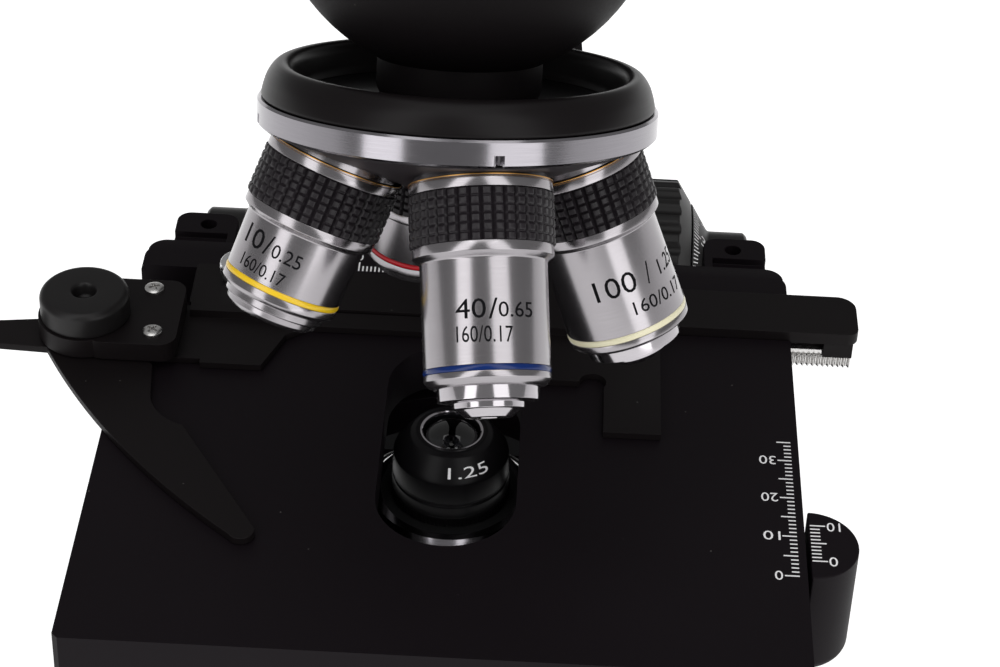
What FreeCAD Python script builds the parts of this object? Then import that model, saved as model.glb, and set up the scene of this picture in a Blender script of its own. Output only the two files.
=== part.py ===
import FreeCAD, Part
import math
import os

# Compound microscope with a camera head, in millimetres with +Z up. The origin is where the
# optical axis meets the underside of the base; +Y is the side of the arm and of the observer.

# Heights and fits that the rest hangs on
stage_z = 138.0           # top face of the stage at rest
slide_fit = 0.05          # gap of a flat slide or dovetail
shaft_fit = 0.05          # radial gap of a shaft in its bore
air = 0.3                 # gap between covers that pass each other

# Base
base_front = 62.5         # from the optical axis to the front of the base
base_rear = 153.5
base_front_width = 140.0
base_rear_width = 152.0
base_corner = 20.0
base_height = 36.0
base_rise_height = 45.0
base_wall = 5.0
cover_thickness = 1.6
foot_height = 3.2
foot_radius = 10.0
foot_inset = 19.0
foot_post = 8.0
lamp_radius = 27.0
lamp_height = 14.0
lamp_lens_radius = 18.0

# Arm
arm_width = 38.0
gearbox_width = 50.0
gearbox_top_z = 150.0
arm_front = 104.0         # from the optical axis to the front of the column
arm_depth = 46.0
arm_top_z = 293.0
beam_thickness = 42.0
channel_width = 34.0
channel_depth = 22.0
channel_bottom_z = 56.0
channel_top_z = 146.0

# Focus drive
focus_y = 115.3           # from the optical axis to the focus shaft
focus_z = 91.0
focus_down = 3.0
focus_up = 23.5
fine_travel = 0.5
pinion_teeth = 16
focus_module = 0.8
pinion_width = 10.0
drive_radius = 4.2
fine_shaft_radius = 2.0
collar_radius = 13.0
collar_width = 3.0
coarse_radius = 19.7
coarse_width = 17.8
coarse_bevel = 3.0
coarse_end_radius = 15.0
coarse_ribs = 26
fine_radius = 14.7
fine_cone = 3.4
fine_grip_radius = 8.8
fine_width = 12.3

# Stage, measured from the optical axis
plate_half = 60.7
plate_front = 58.9
plate_thickness = 9.0
slot_half = 12.0
slot_front = 32.4
slot_rear = 22.3
track_front = 29.0
bar_depth = 11.7
beam_rear = 49.8
beam_lift = 1.0
lower_half = 58.9
lower_drop = 12.0
lower_thickness = 7.0
lower_front = 44.0
ear_rear = 78.0
ear_inner = 46.6
ear_hole_x = 52.4
ear_root = 58.0
condenser_hole = 22.5
stage_module = 0.3

# Traversing bar and slide holder
bar_left = 50.0
bar_right = 73.2
bar_to_left = 23.5        # how far the bar slides to the left of its place in the photo
bar_lift = 1.8
bar_cap = 2.4
rail_front = 1.3
rail_depth = 1.2
rail_height = 1.0
rail_gap = 1.3
end_block = 6.2
rack_height = 2.4
holder_thickness = 1.25
holder_gap = 0.15
slide_length = 76.0
slide_left = -49.5
slide_rear = 12.0
holder_rear = 24.3
pivot_x = -67.3
pivot_y = 19.3
pivot_radius = 2.0
cap_radius = 8.05
cap_height = 5.0
clip_thickness = 1.4
bracket_top = 5.7
bracket_right = -50.2
post_radius = 8.35
post_flat = 61.4
post_y = -27.3
post_height = 22.0

# Coaxial stage knobs
knob_x = 49.0
knob_shaft = 3.6
knob_core = 1.8
stage_pinion_teeth = 28
y_knob_radius = 13.0
x_knob_radius = 10.5
knob_height = 17.0

# Condenser
cell_radius = 10.0
cell_knurl = 10.8
silver_radius = 14.7
cond_radius = 18.4
cond_length = 29.0
cond_top = 17.0
cond_flange = 20.6
carrier_z = 101.0
carrier_thickness = 8.0
carrier_ring = 25.0
cond_travel = 15.0
cond_knob_width = 7.0
front_lens = 5.2

# Nosepiece. s is the distance from the point where all the objective axes meet.
apex_z = 248.9
tilt = 21.65              # turret axis from the vertical, and each objective from the turret axis
turned = -13.67           # how far the turret stands past its click stop
ring_radius = 31.03
ring_top = 37.9
ring_bottom = 42.0
rim_radius = 27.6
rim_top = 32.9
seat_s = 50.55
thread_radius = 10.1
thread_length = 4.5
dome_radius = 30.6
dome_s = 3.9
neck_radius = 12.8
hub_radius = 6.0

# Objectives, measured down from the seat
washer = 0.35
collar = 10.8
grip_top = 1.85
grip_bottom = 9.8
grip_radius = 10.95
barrel = 9.57
shank = 7.3
nose_travel = 2.0

# Head
head_seat = 4.0
head_radius = 25.0
head_height = 42.0
eye_angle = 45.0
eye_tube = 13.6
eye_bore = 11.6
eye_length = 64.0
camera_radius = 19.0
camera_height = 44.0
port_tube = 13.5
port_length = 14.0


def vec(x, y, z):
    return FreeCAD.Vector(x, y, z)


def block(x0, x1, y0, y1, z0, z1):
    """Box between two corners."""
    return Part.makeBox(x1 - x0, y1 - y0, z1 - z0, vec(x0, y0, z0))


def rod(x, y, z, direction, radius, length):
    """Cylinder that starts at a point."""
    return Part.makeCylinder(radius, length, vec(x, y, z), direction)


def prism(points, z0, z1):
    """Upright prism over a closed outline of (x, y)."""
    loop = [vec(x, y, z0) for x, y in points]
    wire = Part.makePolygon(loop + [loop[0]])
    return Part.Face(wire).extrude(vec(0, 0, z1 - z0))


def lathe(profile):
    """Solid of revolution about local Z from (radius, height) points."""
    loop = [vec(r, 0, s) for r, s in profile]
    wire = Part.makePolygon(loop + [loop[0]])
    return Part.Face(wire).revolve(vec(0, 0, 0), vec(0, 0, 1), 360)


def place(shape, base, direction):
    """Turns local +Z onto a direction and moves the local origin to a point."""
    turn = FreeCAD.Rotation(vec(0, 0, 1), direction)
    moved = shape.copy()
    moved.Placement = FreeCAD.Placement(base, turn)
    return moved


def upright(profile, x, y, z):
    return place(lathe(profile), vec(x, y, z), vec(0, 0, 1))


def corners(shape, radius, pick):
    """Rounds the edges that pick() chooses."""
    chosen = [edge for edge in shape.Edges if pick(edge)]
    return shape.makeFillet(radius, chosen)


def vertical(edge):
    low, high = edge.BoundBox.ZMin, edge.BoundBox.ZMax
    return edge.BoundBox.XLength < 1e-6 and edge.BoundBox.YLength < 1e-6 and high > low


def toothed(teeth, module, width, tooth_share):
    """Spur pinion about local Z with straight tapered teeth."""
    pitch = module * teeth / 2
    root, tip = pitch - 1.15 * module, pitch + 0.85 * module
    half = math.pi * module * tooth_share / 2
    body = Part.makeCylinder(root, width)
    flank = [(root - 0.2, half * 1.5), (tip, half * 0.5), (tip, -half * 0.5), (root - 0.2, -half * 1.5)]
    loop = [vec(x, y, 0) for x, y in flank]
    tooth = Part.Face(Part.makePolygon(loop + [loop[0]])).extrude(vec(0, 0, width))
    copies = []
    for index in range(teeth):
        copy = tooth.copy()
        copy.rotate(vec(0, 0, 0), vec(0, 0, 1), index * 360 / teeth)
        copies.append(copy)
    return body.fuse(copies)


def rack_teeth(count, module, width, tooth_share):
    """Row of rack gaps along local X; a tooth top points to local +Y, the pitch line is y = 0."""
    pitch = math.pi * module
    half = pitch * (1 - tooth_share) / 2
    cut = [(-half * 0.45, -1.15 * module), (half * 0.45, -1.15 * module)]
    cut = cut + [(half * 1.4, 0.86 * module), (-half * 1.4, 0.86 * module)]
    gaps = []
    for index in range(count):
        shift = (index - (count - 1) / 2) * pitch
        loop = [vec(x + shift, y, 0) for x, y in cut]
        gaps.append(Part.Face(Part.makePolygon(loop + [loop[0]])).extrude(vec(0, 0, width)))
    return gaps


def save(name, shape):
    shape.exportStep("parts/" + name + ".step")


def group(shapes):
    return Part.makeCompound(shapes)


os.makedirs("parts", exist_ok=True)
up, down = vec(0, 0, 1), vec(0, 0, -1)
to_right, to_left, to_arm, to_front = vec(1, 0, 0), vec(-1, 0, 0), vec(0, 1, 0), vec(0, -1, 0)
plate_z = stage_z - plate_thickness
lower_top = stage_z - lower_drop
lower_z = lower_top - lower_thickness
base_y0, base_y1 = -base_front, base_rear
base_z = cover_thickness


# Base casting, its bottom cover and feet
def base_outline(inset):
    front, rear = base_front_width / 2 - inset, base_rear_width / 2 - inset
    return [(-front, base_y0 + inset), (front, base_y0 + inset), (rear, base_y1 - inset), (-rear, base_y1 - inset)]


shell = corners(prism(base_outline(0), base_z, base_height), base_corner, vertical)
shell = corners(shell, 6.0, lambda edge: edge.BoundBox.ZMin > base_height - 0.01)
hollow = corners(prism(base_outline(base_wall), base_z, base_height - base_wall), base_corner - base_wall, vertical)
rise = block(-gearbox_width / 2 - 7, gearbox_width / 2 + 7, arm_front - 14, base_y1 - 8, base_height - 1, base_rise_height)
rise = corners(rise, 8.0, vertical)
rise = corners(rise, 4.0, lambda edge: edge.BoundBox.ZMin > base_rise_height - 0.01)
lamp_seat = rod(0, 0, base_z, up, lamp_radius + 4, base_height - base_z)
foot_spots = [(sx * (base_front_width / 2 - foot_inset), sy) for sx in (-1, 1)
              for sy in (base_y0 + foot_inset + 2, base_y1 - foot_inset - 2)]
screw_spots = [(sx * (base_front_width / 2 - 12), sy) for sx in (-1, 1) for sy in (base_y0 + 44, base_y1 - 44)]
posts = [rod(x, y, base_z, up, 5.5, base_height - base_z - 1) for x, y in screw_spots]
posts = posts + [rod(x, y, base_z, up, foot_post, base_height - base_z - 1) for x, y in foot_spots]
casting = shell.cut(hollow).fuse([rise, lamp_seat] + posts)
casting = casting.cut(rod(0, 0, base_height - 6, up, lamp_radius - 5, 8))
casting = casting.cut([rod(x, y, base_z, up, 1.6, 12) for x, y in screw_spots])

dial_y, dial_z, dial_radius, dial_length = 92.0, 19.5, 10.0, 7.6
dial_x = base_rear_width / 2 - 3.6
casting = casting.cut(rod(dial_x - dial_length - 1.6, dial_y, dial_z, to_right, dial_radius + 1.2, 20))
switch_x, switch_z, switch_w, switch_h, switch_d = 34.0, 19.5, 21.0, 14.5, 9.0
casting = casting.fuse(block(switch_x - 15, switch_x + 15, base_y1 - 14, base_y1 - 1, base_z, base_z + 28))
casting = casting.fuse(rod(dial_x - dial_length - 6, dial_y, dial_z, to_right, dial_radius + 4, dial_length + 4))
casting = casting.cut(rod(dial_x - dial_length - 1.6, dial_y, dial_z, to_right, dial_radius + 1.2, 20))
switch_box = block(switch_x - switch_w / 2, switch_x + switch_w / 2, base_y1 - switch_d, base_y1 + 1,
                   switch_z - switch_h / 2, switch_z + switch_h / 2)
casting = casting.cut(switch_box)
inlet_x, inlet_radius, inlet_depth = -34.0, 5.5, 11.0
casting = casting.fuse(block(inlet_x - 10, inlet_x + 10, base_y1 - 14, base_y1 - 1, base_z, base_z + 28))
casting = casting.cut(rod(inlet_x, base_y1 - inlet_depth, switch_z, to_arm, inlet_radius, 20))
dial_bore = rod(dial_x - dial_length - 6.1, dial_y, dial_z, to_right, 2.0 + shaft_fit, 6)
save("base_casting", casting.cut(dial_bore).removeSplitter())

cover = corners(prism(base_outline(1.0), 0, base_z), base_corner - 1, vertical)
cover = cover.cut([rod(x, y, -1, up, 1.8, 5) for x, y in screw_spots])
save("base_cover", cover.cut([rod(x, y, -1, up, foot_radius + air, 5) for x, y in foot_spots]))
foot_seat = foot_height + cover_thickness
foot_shape = [(0, 0), (foot_radius - 1, 0), (foot_radius, 1), (foot_radius - 0.4, foot_height),
              (foot_radius - 0.4, foot_seat), (0, foot_seat)]
save("rubber_feet", group([upright(foot_shape, x, y, -foot_height) for x, y in foot_spots]))

# Lamp: housing, field lens, light source
housing = [(lamp_lens_radius - 1.5, 0), (lamp_radius, 0), (lamp_radius, 3), (lamp_radius - 2, 4.5),
           (lamp_radius - 2, lamp_height - 2), (lamp_radius - 4, lamp_height), (lamp_lens_radius + 0.5, lamp_height),
           (lamp_lens_radius + 0.5, lamp_height - 4), (lamp_lens_radius - 1.5, lamp_height - 4)]
save("lamp_housing", upright(housing, 0, 0, base_height))
lens_rise, lens_base = 3.0, base_height + lamp_height - 4
lens_ball = (lamp_lens_radius ** 2 + lens_rise ** 2) / (2 * lens_rise)
lens_body = rod(0, 0, lens_base, up, lamp_lens_radius + 0.5 - slide_fit, 3)
lens_cap = Part.makeSphere(lens_ball, vec(0, 0, lens_base + 3 + lens_rise - lens_ball))
lens_cap = lens_cap.common(rod(0, 0, lens_base + 3, up, lamp_lens_radius, lens_rise + 1))
save("field_lens", lens_body.fuse(lens_cap).removeSplitter())
led = upright([(0, 0), (12, 0), (12, 2), (4, 2), (4, 3.5), (0, 3.5)], 0, 0, base_height - 6)
save("light_source", led)

# Switch, dimmer and power inlet on the back and side of the base
frame_w, frame_h = switch_w / 2 - slide_fit, switch_h / 2 - slide_fit
bezel = block(switch_x - frame_w, switch_x + frame_w, base_y1 - switch_d, base_y1 + 0,
              switch_z - frame_h, switch_z + frame_h)
bezel = bezel.cut(block(switch_x - frame_w + 1.6, switch_x + frame_w - 1.6, base_y1 - switch_d + 1.5, base_y1 + 1,
                        switch_z - frame_h + 1.6, switch_z + frame_h - 1.6))
pin_y = base_y1 - 4.0
pin = rod(switch_x - frame_w + 0.2, pin_y, switch_z, to_right, 0.9, 2 * frame_w - 0.4)
save("switch_frame", bezel.fuse(pin))
rocker_w, rocker_h = frame_w - 1.9, frame_h - 2.4
rocker = block(switch_x - rocker_w, switch_x + rocker_w, pin_y - 2, base_y1 - 0.9,
               switch_z - rocker_h, switch_z + rocker_h)
rocker = rocker.cut(rod(switch_x - 30, base_y1 + 17.6, switch_z, to_right, 18.6, 60))
rocker = rocker.cut(rod(switch_x - 30, pin_y, switch_z, to_right, 0.9 + shaft_fit, 60))
save("switch_rocker", rocker)
dial_shape = [(0, -6.0), (2.0, -6.0), (2.0, 0), (dial_radius, 0), (dial_radius, dial_length - 1.2),
              (dial_radius - 1.2, dial_length), (0, dial_length)]
dial = place(lathe(dial_shape), vec(dial_x - dial_length, dial_y, dial_z), to_right)
notches = []
for index in range(18):
    turn = math.radians(index * 20)
    notches.append(rod(dial_x - dial_length + 1.5, dial_y + dial_radius * math.cos(turn),
                       dial_z + dial_radius * math.sin(turn), to_right, 0.55, dial_length))
save("dimmer_dial", dial.cut(notches))
jack = rod(inlet_x, base_y1 - inlet_depth, switch_z, to_arm, inlet_radius - slide_fit, inlet_depth)
jack = jack.cut(rod(inlet_x, base_y1 - inlet_depth + 1.5, switch_z, to_arm, 3.1, inlet_depth))
jack = jack.fuse(rod(inlet_x, base_y1 - inlet_depth, switch_z, to_arm, 1.0, inlet_depth - 1.5))
save("power_inlet", jack)

# Arm: column with the focus channel and the beam that carries the head
arm_back = arm_front + arm_depth
arm_foot = base_rise_height
beam_z = arm_top_z - beam_thickness
bend_in, bend_out = 26.0, 44.0
q = math.sqrt(0.5)


def side(y, z):
    return vec(-arm_width / 2, y, z)


def bend(cy, cz, radius, start, middle, end):
    points = [side(cy + radius * math.cos(math.radians(a)), cz + radius * math.sin(math.radians(a)))
              for a in (start, middle, end)]
    return Part.Arc(points[0], points[1], points[2]).toShape()


arm_edges = [
    Part.LineSegment(side(arm_front, arm_foot), side(arm_back, arm_foot)).toShape(),
    Part.LineSegment(side(arm_back, arm_foot), side(arm_back, arm_top_z - bend_out)).toShape(),
    bend(arm_back - bend_out, arm_top_z - bend_out, bend_out, 0, 45, 90),
    Part.LineSegment(side(arm_back - bend_out, arm_top_z), side(0, arm_top_z)).toShape(),
    Part.LineSegment(side(0, arm_top_z), side(0, beam_z)).toShape(),
    Part.LineSegment(side(0, beam_z), side(arm_front - bend_in, beam_z)).toShape(),
    bend(arm_front - bend_in, beam_z - bend_in, bend_in, 90, 45, 0),
    Part.LineSegment(side(arm_front, beam_z - bend_in), side(arm_front, arm_foot)).toShape(),
]
arm = Part.Face(Part.Wire(arm_edges)).extrude(vec(arm_width, 0, 0))
arm = corners(arm, 7.0, lambda edge: edge.BoundBox.XLength < 1e-6 and edge.BoundBox.YMax > 1
              and edge.BoundBox.ZMax > arm_foot + 1)
gearbox = block(-gearbox_width / 2, gearbox_width / 2, arm_front, arm_back, arm_foot, gearbox_top_z)
gearbox = corners(gearbox, 5.0, vertical)
gearbox = corners(gearbox, 3.5, lambda edge: edge.BoundBox.ZMin > gearbox_top_z - 0.01)
arm = arm.fuse(gearbox)
apex = vec(0, 0, apex_z)
tilt_sin, tilt_cos = math.sin(math.radians(tilt)), math.cos(math.radians(tilt))
turret_axis = vec(0, -tilt_sin, -tilt_cos)
dome_centre = apex + turret_axis * dome_s
dome = Part.makeSphere(dome_radius, dome_centre)
dome_body = Part.makeCylinder(dome_radius, arm_top_z - dome_centre.z, dome_centre, up)
nose_block = dome.fuse(dome_body)
neck = place(lathe([(0, 26), (neck_radius, 26), (neck_radius, 37.0), (0, 37.0)]), apex, turret_axis)
light_well = Part.makeCylinder(9.0, arm_top_z - apex_z + 60, vec(0, 0, apex_z - 26), up)
arm = arm.cut(nose_block)
channel = block(-channel_width / 2, channel_width / 2, arm_front - 1, arm_front + channel_depth,
                channel_bottom_z, channel_top_z)
shaft_slot = rod(-40, focus_y, focus_z - fine_travel, to_right, drive_radius + 0.4, 80)
shaft_slot = shaft_slot.fuse(rod(-40, focus_y, focus_z + fine_travel, to_right, drive_radius + 0.4, 80))
shaft_slot = shaft_slot.fuse(block(-40, 40, focus_y - drive_radius - 0.4, focus_y + drive_radius + 0.4,
                                   focus_z - fine_travel, focus_z + fine_travel))
save("arm", arm.cut([channel, shaft_slot]).removeSplitter())
head_bore = rod(0, 0, arm_top_z - 6, up, 19.0 + air, 8)
lock_z = arm_top_z - 3.0
lock_bore = rod(-18, 0, lock_z, to_left, 1.9 + shaft_fit, 20)
save("nose_dome", nose_block.fuse(neck).cut([head_bore, light_well, lock_bore]).removeSplitter())
hub = lathe([(0, 37.0), (hub_radius, 37.0), (hub_radius, 51.8), (6.9, 51.8), (6.9, 52.4), (6.0, 53.2), (0, 53.2)])
save("nosepiece_pin", place(hub, apex, turret_axis))

# Fine block: rides in the channel of the arm and holds the focus shaft
fine_half = channel_width / 2 - slide_fit
tail_back, tail_narrow, tail_wide = 4.6, 8.0, 11.0
fine_y0, fine_y1 = arm_front + 0.6, arm_front + channel_depth - slide_fit
pinion_pitch = focus_module * pinion_teeth / 2
pinion_tip = pinion_pitch + 0.85 * focus_module
rack_line = focus_y - pinion_pitch
fine_block = block(-fine_half, fine_half, fine_y0, fine_y1, channel_bottom_z + 4, channel_top_z - 26)


def dovetail(gap, y0, y1, z0, z1):
    share = (y1 - y0 + 1) / tail_back
    narrow = tail_narrow + gap - (tail_wide - tail_narrow) / tail_back
    return prism([(-narrow, y0 - 1), (narrow, y0 - 1), (tail_wide + gap, y1), (-tail_wide - gap, y1)], z0, z1)


tail_y1 = arm_front + tail_back
groove = dovetail(2 * slide_fit, arm_front, tail_y1 + 2 * slide_fit, 40, 160)
pinion_room = rod(-pinion_width / 2 - 0.6, focus_y, focus_z, to_right, pinion_tip + 0.5, pinion_width + 1.2)
rack_room = block(-pinion_width / 2 - 1.4, pinion_width / 2 + 1.4, fine_y0 - 1, rack_line + 0.9, 40, 160)
bore = rod(-40, focus_y, focus_z, to_right, drive_radius + shaft_fit, 80)
save("fine_block", fine_block.cut([groove, pinion_room, rack_room, bore]).removeSplitter())

# Coarse drive: hollow shaft with the pinion, and two ribbed knobs
knob_start = gearbox_width / 2 + collar_width + 2 * air
drive_half = knob_start + 12
tube_bore = rod(-90, focus_y, focus_z, to_right, fine_shaft_radius + shaft_fit, 180)
pinion = place(toothed(pinion_teeth, focus_module, pinion_width, 0.40),
               vec(-pinion_width / 2, focus_y, focus_z), to_right)
drive = rod(-drive_half, focus_y, focus_z, to_right, drive_radius, 2 * drive_half)
save("focus_pinion_shaft", drive.fuse(pinion).cut(tube_bore).removeSplitter())


def coarse_knob(sign):
    direction = to_right if sign > 0 else to_left
    profile = [(0, 0), (coarse_radius - 4, 0), (coarse_radius - 1, 3), (coarse_radius, 4),
               (coarse_radius, coarse_width - coarse_bevel), (coarse_end_radius, coarse_width), (0, coarse_width)]
    knob = place(lathe(profile), vec(sign * knob_start, focus_y, focus_z), direction)
    cuts = [rod(sign * (knob_start - 1), focus_y, focus_z, direction, drive_radius, 13),
            rod(sign * (knob_start + 11), focus_y, focus_z, direction, fine_shaft_radius + 0.4, 30)]
    for index in range(coarse_ribs):
        turn = 2 * math.pi * index / coarse_ribs
        cuts.append(rod(sign * (knob_start + 4.5), focus_y + (coarse_radius + 0.9) * math.cos(turn),
                        focus_z + (coarse_radius + 0.9) * math.sin(turn), direction, 1.7, coarse_width))
    return knob.cut(cuts)


save("coarse_knobs", group([coarse_knob(1), coarse_knob(-1)]))

# Fine drive: thin shaft through the hollow one, with the two graduated knobs
fine_start = knob_start + coarse_width + air


def fine_knob(sign):
    direction = to_right if sign > 0 else to_left
    profile = [(0, 0), (fine_radius, 0), (fine_grip_radius + 0.4, fine_cone), (fine_grip_radius, fine_cone + 0.5),
               (fine_grip_radius, fine_width - 0.8), (fine_grip_radius - 0.8, fine_width),
               (fine_grip_radius - 2, fine_width), (fine_grip_radius - 3, fine_width - 1), (0, fine_width - 1)]
    knob = place(lathe(profile), vec(sign * fine_start, focus_y, focus_z), direction)
    return knob.cut(rod(sign * (fine_start - 1), focus_y, focus_z, direction, fine_shaft_radius, 5))


fine_reach = fine_start + 4
fine_rod = rod(-fine_reach, focus_y, focus_z, to_right, fine_shaft_radius, 2 * fine_reach)
save("fine_drive", group([fine_rod, fine_knob(1), fine_knob(-1)]))

# Tension collar on the right, between the arm and the coarse knob
collar_ring = rod(gearbox_width / 2 + air, focus_y, focus_z, to_right, collar_radius, collar_width)
collar_holes = [rod(gearbox_width / 2, focus_y, focus_z, to_right, drive_radius + shaft_fit, 10)]
for index in range(4):
    turn = math.radians(45 + 90 * index)
    collar_holes.append(rod(gearbox_width / 2, focus_y + collar_radius * math.cos(turn),
                            focus_z + collar_radius * math.sin(turn), to_right, 1.3, 10))
save("tension_collar", collar_ring.cut(collar_holes))

# Carriage: dovetail tail, rack, and the bracket under the stage
carriage_y0 = arm_front - 18.0
tail_z0, tail_z1 = focus_z - focus_up - 7.5, 118.0
bracket_z = lower_z - 8.0
carriage = block(-20, 20, carriage_y0, arm_front - air, tail_z0, lower_z)
carriage = carriage.fuse(dovetail(0, arm_front, tail_y1, tail_z0, tail_z1))
wing = prism([(-34, ear_root - 14), (34, ear_root - 14), (34, ear_root + 6), (20, carriage_y0 + 2),
              (-20, carriage_y0 + 2), (-34, ear_root + 6)], bracket_z, lower_z)
carriage = carriage.fuse(wing)
rack_back = rack_line + 0.85 * focus_module
rack_front = tail_y1 - 2.6
rack_half = pinion_width / 2 + 0.8
rack_seat = block(-rack_half, rack_half, rack_front, tail_y1 + 2, tail_z0 - 1, tail_z1 + 1)
rail_half, rail_out = 6.0, 4.0
cond_rail = block(-rail_half, rail_half, carriage_y0 - rail_out, carriage_y0, tail_z0, bracket_z)
carriage = carriage.fuse(cond_rail).cut(rack_seat)
cond_knob_z, cond_knob_y = carrier_z - 10, carriage_y0 + 7.5
carriage = carriage.cut(rod(-21, cond_knob_y, cond_knob_z, to_right, 2.5 + shaft_fit, 14))
save("focus_carriage", carriage.removeSplitter())

rack_bar = block(-rack_half, rack_half, rack_front, rack_back, tail_z0, tail_z1)
gap_count = int((tail_z1 - tail_z0) / (math.pi * focus_module)) - 1
pitch = math.pi * focus_module
cutters = []
for gap in rack_teeth(gap_count, focus_module, 2 * rack_half + 2, 0.42):
    gap.rotate(vec(0, 0, 0), vec(0, 1, 0), -90)
    cutters.append(gap)
rack_mid = focus_z + round(((tail_z0 + tail_z1) / 2 - focus_z) / pitch) * pitch
if gap_count % 2 == 0:
    rack_mid = rack_mid + pitch / 2
for cutter in cutters:
    cutter.translate(vec(rack_half + 1, rack_line, rack_mid))
save("focus_rack", rack_bar.cut(cutters))

# Lower stage plate with its two rear ears, fixed on the carriage
lower = prism([(-lower_half, -lower_front), (lower_half, -lower_front), (lower_half, ear_rear),
               (ear_inner, ear_rear), (ear_inner, ear_root), (-ear_inner, ear_root), (-ear_inner, ear_rear),
               (-lower_half, ear_rear)], lower_z, lower_top)
lower = corners(lower, 2.8, lambda edge: vertical(edge) and edge.BoundBox.YMin > ear_rear - 1)
lower = corners(lower, 5.0, lambda edge: vertical(edge) and edge.BoundBox.YMin < ear_root + 1)
lower = lower.fuse(block(lower_half - 3, post_flat, post_y - 6, post_y + 6, lower_z, lower_top))
y_front, y_rear = 11.0, 19.0
knob_y = track_front + bar_depth / 2 - 8.9
slot_reach = knob_shaft + 1.0
knob_slot = block(knob_x - slot_reach, knob_x + slot_reach, knob_y - y_front - slot_reach,
                  knob_y + y_rear + slot_reach, lower_z - 1, lower_top + 1)
ear_holes = [rod(sx * ear_hole_x, ear_rear - 3.9, lower_z - 1, up, 1.6, 12) for sx in (-1, 1)]
ear_grooves = [block(sx * (ear_hole_x + 2.2) - 6.3, sx * (ear_hole_x + 2.2) + 6.3, ear_rear - 11, ear_rear - 6.8,
                     lower_top - 1.5, lower_top + 1) for sx in (-1, 1)]
lower = lower.cut([rod(0, 0, lower_z - 1, up, condenser_hole, 20), knob_slot] + ear_holes + ear_grooves)
guide_x, guide_w, guide_h = 34.0, 6.0, 4.4
guides = [block(sx * guide_x - guide_w / 2, sx * guide_x + guide_w / 2, -lower_front + 2, ear_root - 4,
                lower_top, lower_top + guide_h) for sx in (-1, 1)]
save("lower_plate", lower.fuse(guides).removeSplitter())
post = rod(post_flat, post_y, stage_z - post_height, up, post_radius, post_height)
post = post.cut(block(post_flat - 20, post_flat, post_y - 20, post_y + 20, 0, 200))
post = corners(post, 2.5, lambda edge: edge.BoundBox.ZMax < stage_z - post_height + 0.01
               and edge.BoundBox.XLength > 1)
save("vernier_post", post)

# Top plate: slot for the light, track for the traversing bar, raised rear beam
top = prism([(-plate_half + 3, -plate_front), (plate_half, -plate_front), (plate_half, beam_rear),
             (-plate_half, beam_rear), (-plate_half, -plate_front + 3)], plate_z, stage_z)
top = corners(top, 4.0, lambda edge: vertical(edge) and edge.BoundBox.YMin > 0)
track_rear = track_front + bar_depth + 2 * air
lift = block(-plate_half + 0.7, plate_half - 0.7, track_rear, beam_rear, stage_z - 1, stage_z + beam_lift)
lift = corners(lift, 3.4, lambda edge: vertical(edge) and edge.BoundBox.YMin > track_rear + 1)
slot = corners(block(-slot_half, slot_half, -slot_front, slot_rear, plate_z - 1, stage_z + 1), 6.0, vertical)
track_depth = 7.2
track = block(-80, 80, track_front, track_rear, stage_z - track_depth, stage_z + 5)
rack_room_x = rod(knob_x, knob_y, stage_z - track_depth, up, 5.4, 3.6)
shaft_hole = rod(knob_x, knob_y, plate_z - 1, up, knob_shaft + shaft_fit, stage_z - track_depth - plate_z + 2)
tongue_z = stage_z + bar_lift - bar_cap - rail_height - rail_gap / 2
channel_gap = 2 * slide_fit
grooves = [block(sx * guide_x - guide_w / 2 - slide_fit, sx * guide_x + guide_w / 2 + slide_fit, -80, 80,
                 plate_z - 1, lower_top + guide_h + slide_fit) for sx in (-1, 1)]
top = top.fuse(lift).cut([slot, track, rack_room_x, shaft_hole] + grooves)
tongue_right = bar_right - end_block - bar_to_left - 2 * air
tongue = block(-plate_half, tongue_right, track_front - 0.5, track_front + air + rail_front + rail_depth - 0.4,
               tongue_z - rail_gap / 2 + 0.1, tongue_z + rail_gap / 2 - 0.1)
top = top.fuse(tongue).cut(rack_room_x)
save("top_plate", top.removeSplitter())

# Traversing bar with its two guide rails and rack
bar_y0, bar_y1 = track_front + air, track_front + air + bar_depth
cap_z = stage_z + bar_lift
web_z = cap_z - bar_cap - 2 * rail_height - rail_gap
bar = block(-bar_left, bar_right, bar_y0, bar_y1, cap_z - bar_cap, cap_z)
bar = corners(bar, 3.6, lambda edge: vertical(edge) and edge.BoundBox.XMin > 0 and edge.BoundBox.YMin > bar_y1 - 1)
bar = corners(bar, 2.0, lambda edge: vertical(edge) and edge.BoundBox.XMin > 0 and edge.BoundBox.YMin < bar_y0 + 1)
web = block(-bar_left, bar_right - end_block, bar_y0 + rail_front + rail_depth, bar_y1 - 0.4, web_z, cap_z - bar_cap)
stop = block(bar_right - end_block, bar_right - 0.8, bar_y0 + 0.4, bar_y1 - 0.4, web_z, cap_z - bar_cap)
save("traverse_bar", bar.fuse([web, stop]).removeSplitter())
rails = []
for level in (cap_z - bar_cap - rail_height, web_z):
    rails.append(block(-bar_left + 0.5, bar_right - end_block, bar_y0 + rail_front, bar_y0 + rail_front + rail_depth,
                       level, level + rail_height))
save("traverse_rails", group(rails))
stage_pitch = math.pi * stage_module
pitch_radius = stage_module * stage_pinion_teeth / 2
x_rack_line = knob_y + pitch_radius
x_rack_front = x_rack_line - 0.85 * stage_module
rack_left, rack_right = -bar_left + 1, bar_right - 0.9
x_rack = block(rack_left, rack_right, x_rack_front, bar_y1 - 2.2, web_z - rack_height, web_z)
x_count = int((rack_right - rack_left) / stage_pitch) + 2
x_gaps = []
for gap in rack_teeth(x_count, stage_module, rack_height + 2, 0.42):
    gap.rotate(vec(0, 0, 0), vec(0, 0, 1), 180)
    x_gaps.append(gap)
mid = (rack_left + rack_right) / 2
x_mid = knob_x + round((mid - knob_x) / stage_pitch) * stage_pitch
if x_count % 2 == 0:
    x_mid = x_mid + stage_pitch / 2
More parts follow.
